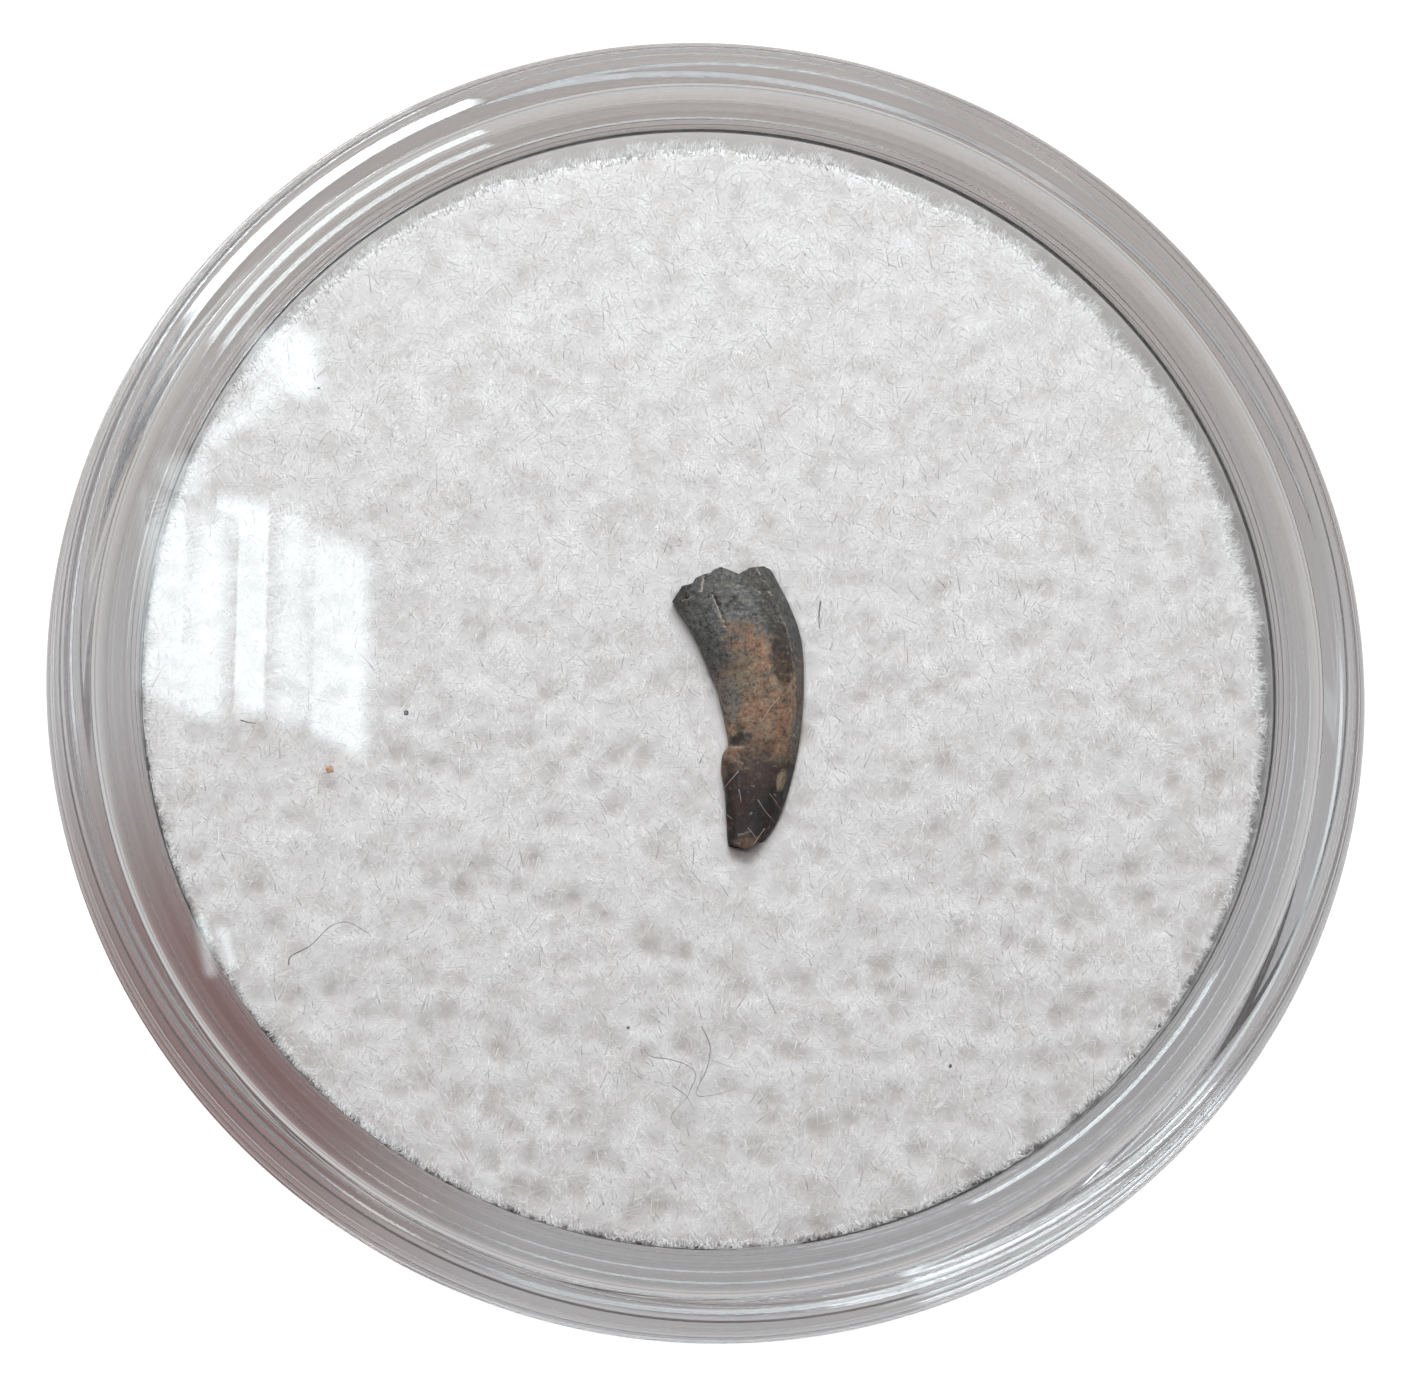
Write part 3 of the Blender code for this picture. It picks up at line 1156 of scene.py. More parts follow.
    def build(self, finish: FossilEnamel, effects: Effects) -> Object:
        """Builds the crown in the place of its node, with its fine relief and its cracks.

        Args:
            finish: The enamel.
            effects: The node groups that the finishes use.

        Returns:
            The crown.
        """
        along = np.linspace(0, 1, self.stations)
        upper = (1 - np.cos(np.linspace(0, math.pi, self.columns))) / 2
        lower = upper[-2:0:-1]
        half = np.interp(along, *zip(*self.thickness)) / 2
        level = self.middle - self.tip_drop * along
        top = self._edge_places(along, upper)
        under = self._edge_places(along, lower)
        top_z = level[:, None] + np.outer(half, self._section(upper, True))
        under_z = level[:, None] - np.outer(half, self._section(lower, False))
        rows = np.concatenate([np.dstack([top, top_z]), np.dstack([under, under_z])], axis=1)
        across = np.concatenate([upper, lower])
        around = len(across)
        base_end = self._end_rings(rows[0], self.base_hollow, 1.0)
        tip_end = self._end_rings(rows[-1], self.tip_hollow, -1.0)
        rings = np.concatenate([base_end[::-1], rows, tip_end])
        before, after = len(base_end), len(tip_end)
        ring_along = np.concatenate([np.zeros(before), along, np.ones(after)])
        points = rings.reshape(-1, 3)
        centres = np.array([base_end[-1].mean(0), tip_end[-1].mean(0)])
        points = np.concatenate([points, centres]) * MM
        tooth = mesh_object("fossil_tooth", points, closed_tube(len(rings), around), finish.material(effects))
        share_along = np.append(np.repeat(ring_along, around), [0.0, 1.0])
        share_across = np.append(np.tile(across, len(rings)), [0.5, 0.5])
        crack = self._crack_depth(points / MM, level.mean())
        self._carve(tooth, share_along, share_across, crack)
        keep_values(tooth.data, "along", share_along)
        keep_values(tooth.data, "across", share_across)
        tooth.data.set_sharp_from_angle(angle=self.sharp_angle)
        return seat(tooth, Slot.ENAMEL, "tooth")

    def _end_rings(self, ring: np.ndarray, hollow: float, towards: float) -> np.ndarray:
        """Rings that close a broken end, a little hollow and uneven.

        Args:
            ring: The last ring before the break.
            hollow: How far the middle lies back, in millimetres.
            towards: 1 at the base and -1 at the tip.

        Returns:
            The rings, from the outermost inwards.
        """
        centre = ring.mean(0)
        rings = []
        for k, share in enumerate(self.end_shares):
            inner = centre + (ring - centre) * share
            rough = [noise.noise(Vector((*point * 3.0,)) + Vector((0, 0, 7.0 * k))) for point in inner]
            inner[:, 1] += -towards * hollow * (1 - share) + self.end_roughness * np.array(rough)
            rings.append(inner)
        return np.array(rings)

    def _crack_depth(self, points: np.ndarray, level: float) -> np.ndarray:
        """How deep in a crack each point of the upper side is, from 0 to 1.

        Args:
            points: Places in millimetres, one a row.
            level: The height above which a point is on the upper side.

        Returns:
            The depths.
        """
        depth = np.zeros(len(points))
        for x0, y0, x1, y1, width in self.cracks:
            start, end = np.array([x0, y0]), np.array([x1, y1])
            way = end - start
            share = np.clip(((points[:, :2] - start) @ way) / (way @ way), 0, 1)
            wobble = 0.02 * np.sin(share * 17.0)
            near = start + share[:, None] * way
            off = np.linalg.norm(points[:, :2] - near + wobble[:, None], axis=1)
            taper = width * (0.35 + 0.65 * np.sin(math.pi * np.clip(share, 0.08, 0.92)))
            depth = np.maximum(depth, 1 - smooth_step(taper * 0.5, taper, off))
        return depth * (points[:, 2] > level)

    def _carve(
        self, tooth: Object, along: np.ndarray, across: np.ndarray, crack: np.ndarray
    ) -> None:
        """Moves the surface in and out: grain, lengthwise lines, pits, a chipped step and the cracks.

        Args:
            tooth: The crown.
            along: Share of the way from the broken base to the tip.
            across: Share of the way from the concave to the convex edge.
            crack: How deep in a crack each point is.
        """
        mesh = tooth.data
        points, normals = points_of(mesh).astype(float), normals_of(mesh)
        lines = np.empty(len(points))
        lumps = np.empty(len(points))
        pits = np.empty(len(points))
        for i, (point, v, u) in enumerate(zip(points / MM, along, across)):
            lines[i] = noise.noise(Vector((u * 34.0, v * 9.0, self.seed)))
            lumps[i] = noise.noise(Vector(point) * 1.7)
            pits[i] = noise.noise(Vector(point) * 9.0 + Vector((self.seed, 0, 0)))
        lift = self.line_height * lines + self.lump_height * lumps + self.pit_depth * np.minimum(pits, 0.1)
        chip = smooth_step(0.615, 0.635, along + 0.02 * lumps)
        chip = chip * (1 - smooth_step(0.10, 0.26, across + 0.06 * lumps))
        lift = lift + self.chip_height * chip
        lift = lift - self.crack_depth * crack
        inside = smooth_step(0.0, 0.02, across) * smooth_step(0.0, 0.02, 1 - across)
        points += normals * (lift * (self.edge_relief + (1 - self.edge_relief) * inside) * MM)[:, None]
        move_points(mesh, points)

    def top_height(self, tooth: Object, places: np.ndarray) -> np.ndarray:
        """The height of the tooth's upper side at places in the plan, in millimetres.

        Args:
            tooth: The crown.
            places: Places in the plan, in millimetres, one a row.

        Returns:
            The heights, with nan beside the tooth.
        """
        points = points_of(tooth.data) / MM
        points = points[points[:, 2] > self.middle - self.tip_drop]
        heights = []
        for place in places:
            off = np.linalg.norm(points[:, :2] - place[:2], axis=1)
            nearest = off.argmin()
            heights.append(points[nearest, 2] if off[nearest] < self.nearest_reach else np.nan)
        return np.array(heights)


def distance_to(outline: np.ndarray, places: np.ndarray) -> np.ndarray:
    """Distance from each place to a closed outline, below zero inside it.

    Args:
        outline: The outline's corners, one a row.
        places: The places to measure, one a row.

    Returns:
        The distances.
    """
    nearest = np.full(len(places), np.inf)
    inside = np.zeros(len(places), bool)
    for a, b in zip(outline, np.roll(outline, -1, axis=0)):
        way = b - a
        share = np.clip(((places - a) @ way) / max(way @ way, 1e-12), 0, 1)
        nearest = np.minimum(nearest, np.linalg.norm(places - a - share[:, None] * way, axis=1))
        crosses = (a[1] > places[:, 1]) != (b[1] > places[:, 1])
        rise = np.where(abs(way[1]) < 1e-12, 1e-12, way[1])
        inside ^= crosses & (places[:, 0] < a[0] + (places[:, 1] - a[1]) * way[0] / rise)
    return np.where(inside, -nearest, nearest)


@dataclass
class FibrePad:
    """The fluffy white pad: a dimpled body, the down that covers it and longer fibres."""

    outline: np.ndarray
    rng: np.random.Generator
    level: float = 13.42
    body_radius: float = 16.37
    edge_round: float = 0.16
    edge_lumps: float = 0.05
    back_gap: float = 0.24
    back_lumps: float = 0.16
    back_turn: float = math.radians(65)
    dimple_spacing: float = 0.92
    dimple_depth: Spot = (0.03, 0.11)
    dimple_reach: float = 0.35
    dimple_bareness: float = 0.85
    wave_height: float = 0.006
    tooth_bed: float = 12.62
    under_gap: float = 0.05
    rings: int = 112
    segments: int = 480
    fluff_count: int = 32000
    fluff_pieces: int = 2
    down_count: int = 62000
    down_pieces: int = 2
    edge_count: int = 9000
    side_count: int = 2600
    down_length: Spot = (0.22, 0.5)
    down_rise: Spot = (4, 40)
    fluff_length: float = 0.72
    fluff_spread: float = 0.36
    fluff_limits: Spot = (0.35, 1.9)
    fluff_rise: Spot = (3, 34)
    side_length: Spot = (0.4, 0.9)
    fibre_radius: float = 0.0125
    curl: float = 0.28
    sag: float = 0.38
    tooth_gap: float = 0.03
    tip_limit: float = 13.97
    wall_limit: float = 16.42

    def __post_init__(self) -> None:
        """Draws the dimples' places, one to a cell of a square grid, and the broad waves."""
        self.cells = int(2 * self.wall_limit / self.dimple_spacing) + 6
        shape = (self.cells, self.cells)
        jitter = self.rng.uniform(0.12, 0.88, (*shape, 2))
        corner = np.stack(np.meshgrid(np.arange(self.cells), np.arange(self.cells), indexing="ij"), -1)
        self.dimples = (corner + jitter - self.cells / 2) * self.dimple_spacing
        self.strength = self.rng.uniform(0.1, 1.0, shape)
        self.waves = [
            (self.rng.uniform(0.1, 0.6), self.rng.uniform(0, 2 * math.pi), self.rng.uniform(0, 2 * math.pi))
            for _ in range(14)
        ]

    def nearest_dimple(self, places: np.ndarray) -> tuple[np.ndarray, np.ndarray, np.ndarray]:
        """The way from the nearest dimple to each place, its distance and the dimple's strength.

        Args:
            places: Places in the plan, in millimetres, one a row.

        Returns:
            The ways, the distances and the strengths.
        """
        cell = np.floor(places / self.dimple_spacing + self.cells / 2).astype(int)
        best = np.full(len(places), np.inf)
        way = np.zeros_like(places)
        strength = np.zeros(len(places))
        for i in (-1, 0, 1):
            for j in (-1, 0, 1):
                near = np.clip(cell + (i, j), 0, self.cells - 1)
                off = places - self.dimples[near[:, 0], near[:, 1]]
                length = np.linalg.norm(off, axis=1)
                closer = length < best
                best[closer], way[closer] = length[closer], off[closer]
                strength[closer] = self.strength[near[:, 0], near[:, 1]][closer]
        return way, best, strength

    def surface(self, places: np.ndarray) -> np.ndarray:
        """Height of the pad's top, in millimetres, under the fibres; the dimples deepen towards the front.

        Args:
            places: Places in the plan, in millimetres, one a row.

        Returns:
            The heights.
        """
        _, off, strength = self.nearest_dimple(places)
        height = np.full(len(places), self.level)
        for count, turn, phase in self.waves:
            run = places @ np.array([math.cos(turn), math.sin(turn)])
            height += self.wave_height * np.sin(run * 2 * math.pi * count + phase)
        shallow, deep = self.dimple_depth
        depth = shallow + (deep - shallow) * smooth_step(10.0, -10.0, places[:, 1])
        height -= depth * strength * np.exp(-((off / self.dimple_reach) ** 2))
        bed = smooth_step(-0.25, -0.02, distance_to(self.outline, places))
        return self.tooth_bed + (height - self.tooth_bed) * bed

    def build(
        self, core: WhiteFibre, down: WhiteFibre, fluff: WhiteFibre, effects: Effects
    ) -> None:
        """Builds the body, the down and fluff on its top and the tufts round its edge.

        Args:
            core: The body's finish.
            down: The down's finish.
            fluff: The finish of the longer fibres.
            effects: The node groups that the finishes use.
        """
        short, material = down.material(effects), fluff.material(effects)
        body = self._body(core.material(effects))
        seat(body, Slot.FIBRE, "fibre_pad")
        pieces = []
        for number in range(self.down_pieces):
            pieces.append(self._down(f"pad_down_{number + 1}", self.down_count // self.down_pieces, short))
        for number in range(self.fluff_pieces):
            share = self.fluff_count // self.fluff_pieces
            pieces.append(self._fluff(f"pad_fluff_{number + 1}", share, material))
        pieces.append(self._edge_tufts("pad_edge_tufts", material))
        pieces.append(self._side_fibres("pad_side_fibres", material))
        for piece in pieces:
            seat(piece, Slot.FIBRE)
            piece.visible_shadow = False

    def _edge(self, turn: np.ndarray, height: float) -> np.ndarray:
        """The pad's radius round its edge: uneven, and drawn in a little at the back right.

        Args:
            turn: Directions from the middle, in radians.
            height: The height that the edge is read at, in millimetres.

        Returns:
            The radius in each direction.
        """
        around = np.column_stack([np.cos(turn), np.sin(turn)])
        lumps = np.array([noise.noise(Vector((*(p * 15.0), height * 1.3))) for p in around])
        back = smooth_step(0.0, 0.85, np.cos(turn - self.back_turn))
        return self.body_radius - self.back_gap * back + (self.edge_lumps + self.back_lumps * back) * lumps

    def _body(self, material: Material) -> Object:
        """The closed body of the pad, dimpled on top and uneven round its edge.

        Args:
            material: Its finish.

        Returns:
            The body.
        """
        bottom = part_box("fibre_pad")[0].z / MM
        angles = np.linspace(0, 2 * math.pi, self.segments, endpoint=False)
        around = np.column_stack([np.cos(angles), np.sin(angles)])
        rim = self._edge(angles, self.level)
        rings = []
        for share in np.linspace(1, 0, self.rings, endpoint=False):
            places = around * (share * rim)[:, None]
            drop = self.edge_round * smooth_step(0.965, 1.02, np.full(self.segments, share)) ** 2
            rings.append(np.column_stack([places, self.surface(places) - drop]))
        rings = rings[::-1]
        for height in np.linspace(self.level - self.edge_round - 0.4, bottom + 0.5, 14):
            radius = self._edge(angles, height)
            rings.append(np.column_stack([around * radius[:, None], np.full(self.segments, height)]))
        under = bottom + self.under_gap
        for radius in (self.body_radius - 0.5, self.body_radius * 0.5):
            rings.append(np.column_stack([around * radius, np.full(self.segments, under)]))
        top = self.surface(np.zeros((1, 2)))[0]
        vertices = np.concatenate([np.concatenate(rings), [(0, 0, top), (0, 0, under)]])
        body = mesh_object("pad_body", vertices * MM, closed_tube(len(rings), self.segments), material)
        # The dimple depth, kept on the body for its finish, which paints shade into the dimples by it.
        hollow = np.where(vertices[:, 2] > self.level - 0.6, self.hollow(vertices[:, :2]), 0.0)
        keep_values(body.data, "hollow", hollow)
        return body

    def _roots(self, count: int) -> np.ndarray:
        """Places spread over the pad's top, fewer in the dimples and fewest in those of its front half.

        Args:
            count: How many fibres to draw, before those in the dimples are thinned out.

        Returns:
            The places, one a row.
        """
        share = np.sqrt(self.rng.uniform(0, 1, count))
        turn = self.rng.uniform(0, 2 * math.pi, count)
        radius = share * (self._edge(turn, self.level) - 0.05)
        roots = np.column_stack([radius * np.cos(turn), radius * np.sin(turn)])
        return roots[self.rng.uniform(0, 1, count) > self.dimple_bareness * self.hollow(roots)]

    def hollow(self, places: np.ndarray) -> np.ndarray:
        """How much each place lies in a dimple, from 0 to 1, more so in the front half; it thins the fibres
        there and sets how much painted shade the body's finish puts in the dimples.

        Args:
            places: Places in the plan, in millimetres, one a row.

        Returns:
            The depths.
        """
        _, off, strength = self.nearest_dimple(places)
        front = 0.25 + 0.75 * smooth_step(12.0, -6.0, places[:, 1])
        return front * strength * np.exp(-((off / self.dimple_reach) ** 2))

    def _down(self, name: str, count: int, material: Material) -> Object:
        """Short straight fibres in all directions, which make the surface soft.

        Args:
            name: The piece's name.
            count: How many fibres to draw, before those in the dimples are thinned out.
            material: Its finish.

        Returns:
            The piece.
        """
        rng = self.rng
        roots = self._roots(count)
        count = len(roots)
        lean = rng.uniform(0, 2 * math.pi, count)
        rise = np.radians(rng.uniform(*self.down_rise, count))
        length = rng.uniform(*self.down_length, count)
        start = np.column_stack([roots, self.surface(roots) - 0.03])
        return self._fibres(name, start, lean, rise, length, material, bends=0)

    def _fluff(self, name: str, count: int, material: Material) -> Object:
        """Longer curved fibres, most of them leaning away from the dimples.

        Args:
            name: The piece's name.
            count: How many fibres to draw, before those in the dimples are thinned out.
            material: Its finish.

        Returns:
            The piece.
        """
        rng = self.rng
        roots = self._roots(count)
        count = len(roots)
        way, _, _ = self.nearest_dimple(roots)
        lean = np.arctan2(way[:, 1], way[:, 0]) + rng.normal(0, 0.9, count)
        lean = np.where(rng.uniform(0, 1, count) < 0.35, rng.uniform(0, 2 * math.pi, count), lean)
        rise = np.radians(rng.uniform(*self.fluff_rise, count))
        length = rng.lognormal(math.log(self.fluff_length), self.fluff_spread, count)
        length = np.clip(length, *self.fluff_limits)
        start = np.column_stack([roots, self.surface(roots) - 0.04])
        return self._fibres(name, start, lean, rise, length, material)

    def _edge_tufts(self, name: str, material: Material) -> Object:
        """Tufts that point outwards round the pad's upper edge.

        Args:
            name: The piece's name.
            material: Its finish.

        Returns:
            The piece.
        """
        rng = self.rng
        turn = rng.uniform(0, 2 * math.pi, self.edge_count)
        clump = 0.5 + 0.5 * np.sin(turn * 71 + 2.4 * np.sin(turn * 13)) * np.sin(turn * 37 + 1.0)
        radius = self._edge(turn, self.level) - rng.uniform(0.0, 0.28, self.edge_count)
        roots = np.column_stack([radius * np.cos(turn), radius * np.sin(turn)])
        lean = turn + rng.normal(0, 0.35, self.edge_count)
        rise = np.radians(rng.uniform(0, 60, self.edge_count))
        length = (0.18 + 0.62 * clump**1.5) * rng.uniform(0.6, 1.2, self.edge_count)
        height = self.surface(roots) - rng.uniform(0.0, 0.2, self.edge_count)
        return self._fibres(name, np.column_stack([roots, height]), lean, rise, length, material)

    def _side_fibres(self, name: str, material: Material) -> Object:
        """Short fibres on the pad's side wall.

        Args:
            name: The piece's name.
            material: Its finish.

        Returns:
            The piece.
        """
        rng = self.rng
        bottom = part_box("fibre_pad")[0].z / MM
        turn = rng.uniform(0, 2 * math.pi, self.side_count)
        roots = np.column_stack([np.cos(turn), np.sin(turn)]) * (self.body_radius - 0.1)
        height = rng.uniform(bottom + 0.6, self.level - 0.8, self.side_count)
        lean = turn + rng.normal(0, 1.0, self.side_count)
        rise = np.radians(rng.uniform(-60, 60, self.side_count))
        length = rng.uniform(*self.side_length, self.side_count)
        return self._fibres(name, np.column_stack([roots, height]), lean, rise, length, material)

    def _fibres(
        self,
        name: str,
        start: np.ndarray,
        lean: np.ndarray,
        rise: np.ndarray,
        length: np.ndarray,
        material: Material,
        bends: int = 1,
    ) -> Object:
        """One joined mesh of fibres that taper to a point.

        Args:
            name: The piece's name.
            start: Each fibre's root, in millimetres.
            lean: The direction that it leans in, seen from above.
            rise: Its angle above the horizontal.
            length: Its length.
            material: Its finish.
            bends: How many places it bends at.

        Returns:
            The piece.
        """
        count = len(start)
        shares = np.linspace(0, 1, bends + 2)
        flat = np.column_stack([np.cos(lean), np.sin(lean)])
        aside = np.column_stack([-np.sin(lean), np.cos(lean)])
        curl = self.rng.normal(0, self.curl, count) * length
        path = np.zeros((count, len(shares), 3))
        for i, share in enumerate(shares):
            run = length * np.cos(rise) * share
            lift = length * np.sin(rise) * (share - self.sag * share**2)
            path[:, i, :2] = start[:, :2] + flat * run[:, None] + aside * (curl * share**2)[:, None]
            path[:, i, 2] = start[:, 2] + lift
        path[:, :, 2] = np.minimum(path[:, :, 2], self.tip_limit)
        away = np.linalg.norm(path[:, :, :2], axis=2)
        path[:, :, :2] *= np.minimum(1, self.wall_limit / np.maximum(away, 1e-6))[..., None]
        clear = np.ones(count, bool)
        for i in range(len(shares)):
            clear &= distance_to(self.outline, path[:, i, :2]) > self.tooth_gap
        return tube_mesh(name, path[clear], self.fibre_radius, self.rng, material)


def tube_mesh(
    name: str, path: np.ndarray, radius: float, rng: np.random.Generator | None, material: Material
) -> Object:
    """One mesh of many three-sided tubes that end in points.

    Args:
        name: The piece's name.
        path: Each tube's places in millimetres: tubes, places on each, three numbers.
        radius: The tubes' radius at the root, in millimetres.
        rng: Where each tube's own thickness is drawn from, or None for all alike.
        material: Its finish.

    Returns:
        The piece.
    """
    count, places, _ = path.shape
    way = np.gradient(path, axis=1)
    way /= np.maximum(np.linalg.norm(way, axis=2, keepdims=True), 1e-9)
    side = np.cross(way, (0.0, 0.0, 1.0))
    side /= np.maximum(np.linalg.norm(side, axis=2, keepdims=True), 1e-6)
    over = np.cross(side, way)
    girth = np.full(count, radius) if rng is None else radius * rng.uniform(0.7, 1.25, count)
    taper = np.linspace(1.0, 0.5, places - 1)
    angles = np.radians([90, 210, 330])
    rings = (
        path[:, :-1, None]
        + (side[:, :-1, None] * np.cos(angles)[:, None] + over[:, :-1, None] * np.sin(angles)[:, None])
        * (girth[:, None] * taper)[..., None, None]
    )
    own = 3 * (places - 1) + 1
    vertices = np.concatenate([rings.reshape(count, -1, 3), path[:, -1:]], axis=1)
    faces = [(0, 2, 1)]
    for ring in range(places - 2):
        for k in range(3):
            a, b = 3 * ring + k, 3 * ring + (k + 1) % 3
            faces += [(a, b, b + 3), (a, b + 3, a + 3)]
    last = 3 * (places - 2)
    faces += [(last + k, last + (k + 1) % 3, own - 1) for k in range(3)]
    triangles = np.array(faces)[None] + (np.arange(count) * own)[:, None, None]
    return mesh_object(name, vertices.reshape(-1, 3) * MM, triangles.reshape(-1, 3), material)


@dataclass
class LooseStrands:
    """Hairs and specks that lie on the pad, and pad fibres that lie over the tooth."""

    pad: FibrePad
    tooth: Tooth
    tooth_object: Object
    over_tooth: tuple[list[Spot], ...] = (
        [(1.81, -0.78), (1.52, -1.11), (1.25, -1.55)],
        [(0.64, -2.91), (0.42, -3.16), (0.18, -3.44)],
        [(1.53, -3.56), (1.72, -3.76), (1.94, -4.00)],
        [(1.19, -3.74), (1.45, -4.09), (1.76, -4.35)],
        [(0.92, -4.53), (1.10, -4.74), (1.27, -4.99)],
        [(1.41, -4.53), (1.22, -4.80), (1.01, -5.14)],
        [(0.29, -4.05), (0.38, -4.18), (0.49, -4.28)],
        [(0.64, -3.43), (0.69, -3.62), (0.72, -3.84)],
        [(2.14, -1.86), (2.28, -1.84), (2.43, -1.85)],
    )
    on_pad: tuple[tuple[Strand, float, list[Spot]], ...] = (
        (Strand.DARK, 0.026, [(3.05, 2.14), (3.00, 1.72), (3.01, 1.30)]),
        (Strand.DARK, 0.016, [(-12.04, -8.61), (-11.99, -8.36), (-11.43, -8.04), (-10.94, -7.53),
                              (-10.44, -7.38), (-9.81, -7.71)]),
        (Strand.FAINT, 0.016, [(-0.44, -10.21), (-0.19, -10.80), (-0.28, -11.43), (-0.53, -11.93),
                               (-0.53, -12.18), (-0.07, -12.15), (0.56, -11.97)]),
        (Strand.FAINT, 0.015, [(-2.08, -10.82), (-1.85, -11.08), (-1.37, -11.16), (-0.85, -11.32),
                               (-0.59, -11.59), (-0.73, -11.98), (-0.85, -12.23), (-1.26, -12.70),
                               (-1.23, -12.92), (-1.03, -13.15)]),
        (Strand.FAINT, 0.013, [(-1.24, -11.91), (-0.85, -12.20), (-0.63, -12.60)]),
        (Strand.DARK, 0.020, [(-13.58, -1.66), (-13.35, -1.72), (-13.12, -1.74)]),
    )
    specks: tuple[tuple[Strand, float, Spot], ...] = (
        (Strand.RUST, 0.22, (-11.04, -2.99)),
        (Strand.DARK, 0.14, (-8.91, -1.32)),
        (Strand.DARK, 0.09, (-2.49, -10.26)),
        (Strand.DARK, 0.08, (-11.62, 8.25)),
        (Strand.DARK, 0.10, (6.71, -11.28)),
    )
    lift_on_tooth: float = 0.018
    lift_beside_tooth: float = 0.25
    lift_on_pad: float = 0.60
    speck_lift: float = 0.34
    stray_radius: float = 0.012
    lid_limit: float = 14.62

    def build(self, finishes: dict[Strand, Material]) -> None:
        """Builds each strand as its own piece.

        Args:
            finishes: The finish of each kind of strand.
        """
        white = finishes[Strand.WHITE]
        for number, line in enumerate(self.over_tooth):
            places = smooth_line(line, 9)
            heights = self.tooth.top_height(self.tooth_object, places)
            beside = self.pad.surface(places) + self.lift_beside_tooth
            heights = np.where(np.isnan(heights), beside, heights) + self.lift_on_tooth
            self._strand(f"stray_fibre_{number + 1}", places, heights, self.stray_radius, white)
        for number, (kind, radius, line) in enumerate(self.on_pad):
            places = smooth_line(line, 6 * len(line))
            heights = self.pad.surface(places)
            heights = np.convolve(np.pad(heights, 4, mode="edge"), np.ones(9) / 9, mode="valid")
            heights = heights + self.lift_on_pad
            self._strand(f"{kind.value}_hair_{number + 1}", places, heights, radius, finishes[kind])
        for number, (kind, width, (x, y)) in enumerate(self.specks):
            height = self.pad.surface(np.array([(x, y)]))[0] + self.speck_lift
            self._speck(f"speck_{number + 1}", (x, y, height), width, finishes[kind])

    def _speck(self, name: str, place: Place, width: float, material: Material) -> None:
        """A flattened, uneven grain of dirt.

        Args:
            name: The piece's name.
            place: Where its middle lies, in millimetres.
            width: How wide it is, in millimetres.
            material: Its finish.
        """
        made = bmesh.new()
        bmesh.ops.create_icosphere(made, subdivisions=3, radius=width / 2)
        for vertex in made.verts:
            vertex.co *= 1.0 + 0.35 * noise.noise(vertex.co * 9.0 + Vector(place))
            vertex.co.z *= 0.55
            vertex.co += Vector(place)
            vertex.co *= MM
        mesh = bpy.data.meshes.new(name)
        made.to_mesh(mesh)
        made.free()
        mesh.materials.append(material)
        mesh.shade_smooth()
        grain = bpy.data.objects.new(name, mesh)
        bpy.context.scene.collection.objects.link(grain)
        seat(grain, Slot.FIBRE)

    def _strand(
        self, name: str, places: np.ndarray, heights: np.ndarray, radius: float, material: Material
    ) -> None:
        """One strand along places at heights.

        Args:
            name: The piece's name.
            places: Places in the plan, in millimetres, one a row.
            heights: The height at each place, in millimetres.
            radius: Its radius, in millimetres.
            material: Its finish.
        """
        heights = np.minimum(heights, self.lid_limit)
        path = np.column_stack([places, heights])[None]
        seat(tube_mesh(name, path, radius, None, material), Slot.FIBRE)


@dataclass(frozen=True)
class PhotoCamera:
    """Where the box is seen from: close above it, tilted towards the front left."""

    tilt: float = math.radians(12.012)
    bearing: float = math.radians(243.924)
    distance: float = 88.0 * MM
    aim_height: float = 14.0 * MM
    shift_right: float = -0.358 * MM
    shift_up: float = -0.695 * MM
    focal_length: float = 77.617
    sensor_width: float = 36.0
    clip: Spot = (1 * MM, 20.0)

    def build(self) -> None:
        """Adds the camera, with +Y upwards in the picture."""
        aside = math.sin(self.tilt)
        away = Vector((aside * math.cos(self.bearing), aside * math.sin(self.bearing), math.cos(self.tilt)))
        up = Vector((0, 1, 0))
        up = (up - up.dot(away) * away).normalized()
        right = up.cross(away)
        data = bpy.data.cameras.new("photo_camera")
        data.lens = self.focal_length
        data.sensor_width = self.sensor_width
        data.clip_start, data.clip_end = self.clip
        camera = bpy.data.objects.new("photo_camera", data)
        turn = Matrix((right, up, away)).transposed().to_4x4()
        place = Vector((0, 0, self.aim_height)) + away * self.distance
        place += right * self.shift_right + up * self.shift_up
        camera.matrix_world = Matrix.Translation(place) @ turn
        bpy.context.scene.collection.objects.link(camera)
        bpy.context.scene.camera = camera


@dataclass(frozen=True)
class Softbox:
    """A rectangular lamp that points at a place."""

    name: str
    place: Place
    size: Spot
    brightness: float
    colour: Colour = (1.0, 1.0, 1.0)
    aim: Place = (0.0, 0.0, 0.014)

    def build(self) -> None:
        """Adds the lamp, which lights matt things and isn't seen in the plastic.

        Its brightness is what its face would look like, white being 1.
        """
        data = bpy.data.lights.new(self.name, "AREA")
        data.shape = "RECTANGLE"
        data.size, data.size_y = self.size
        data.color = self.colour
        data.energy = self.brightness * math.pi * self.size[0] * self.size[1]
        lamp = bpy.data.objects.new(self.name, data)
        lamp.location = self.place
        lamp.rotation_euler = (Vector(self.place) - Vector(self.aim)).to_track_quat("Z", "Y").to_euler()
        data.cycles.use_multiple_importance_sampling = False
        lamp.visible_camera = False
        bpy.context.scene.collection.objects.link(lamp)


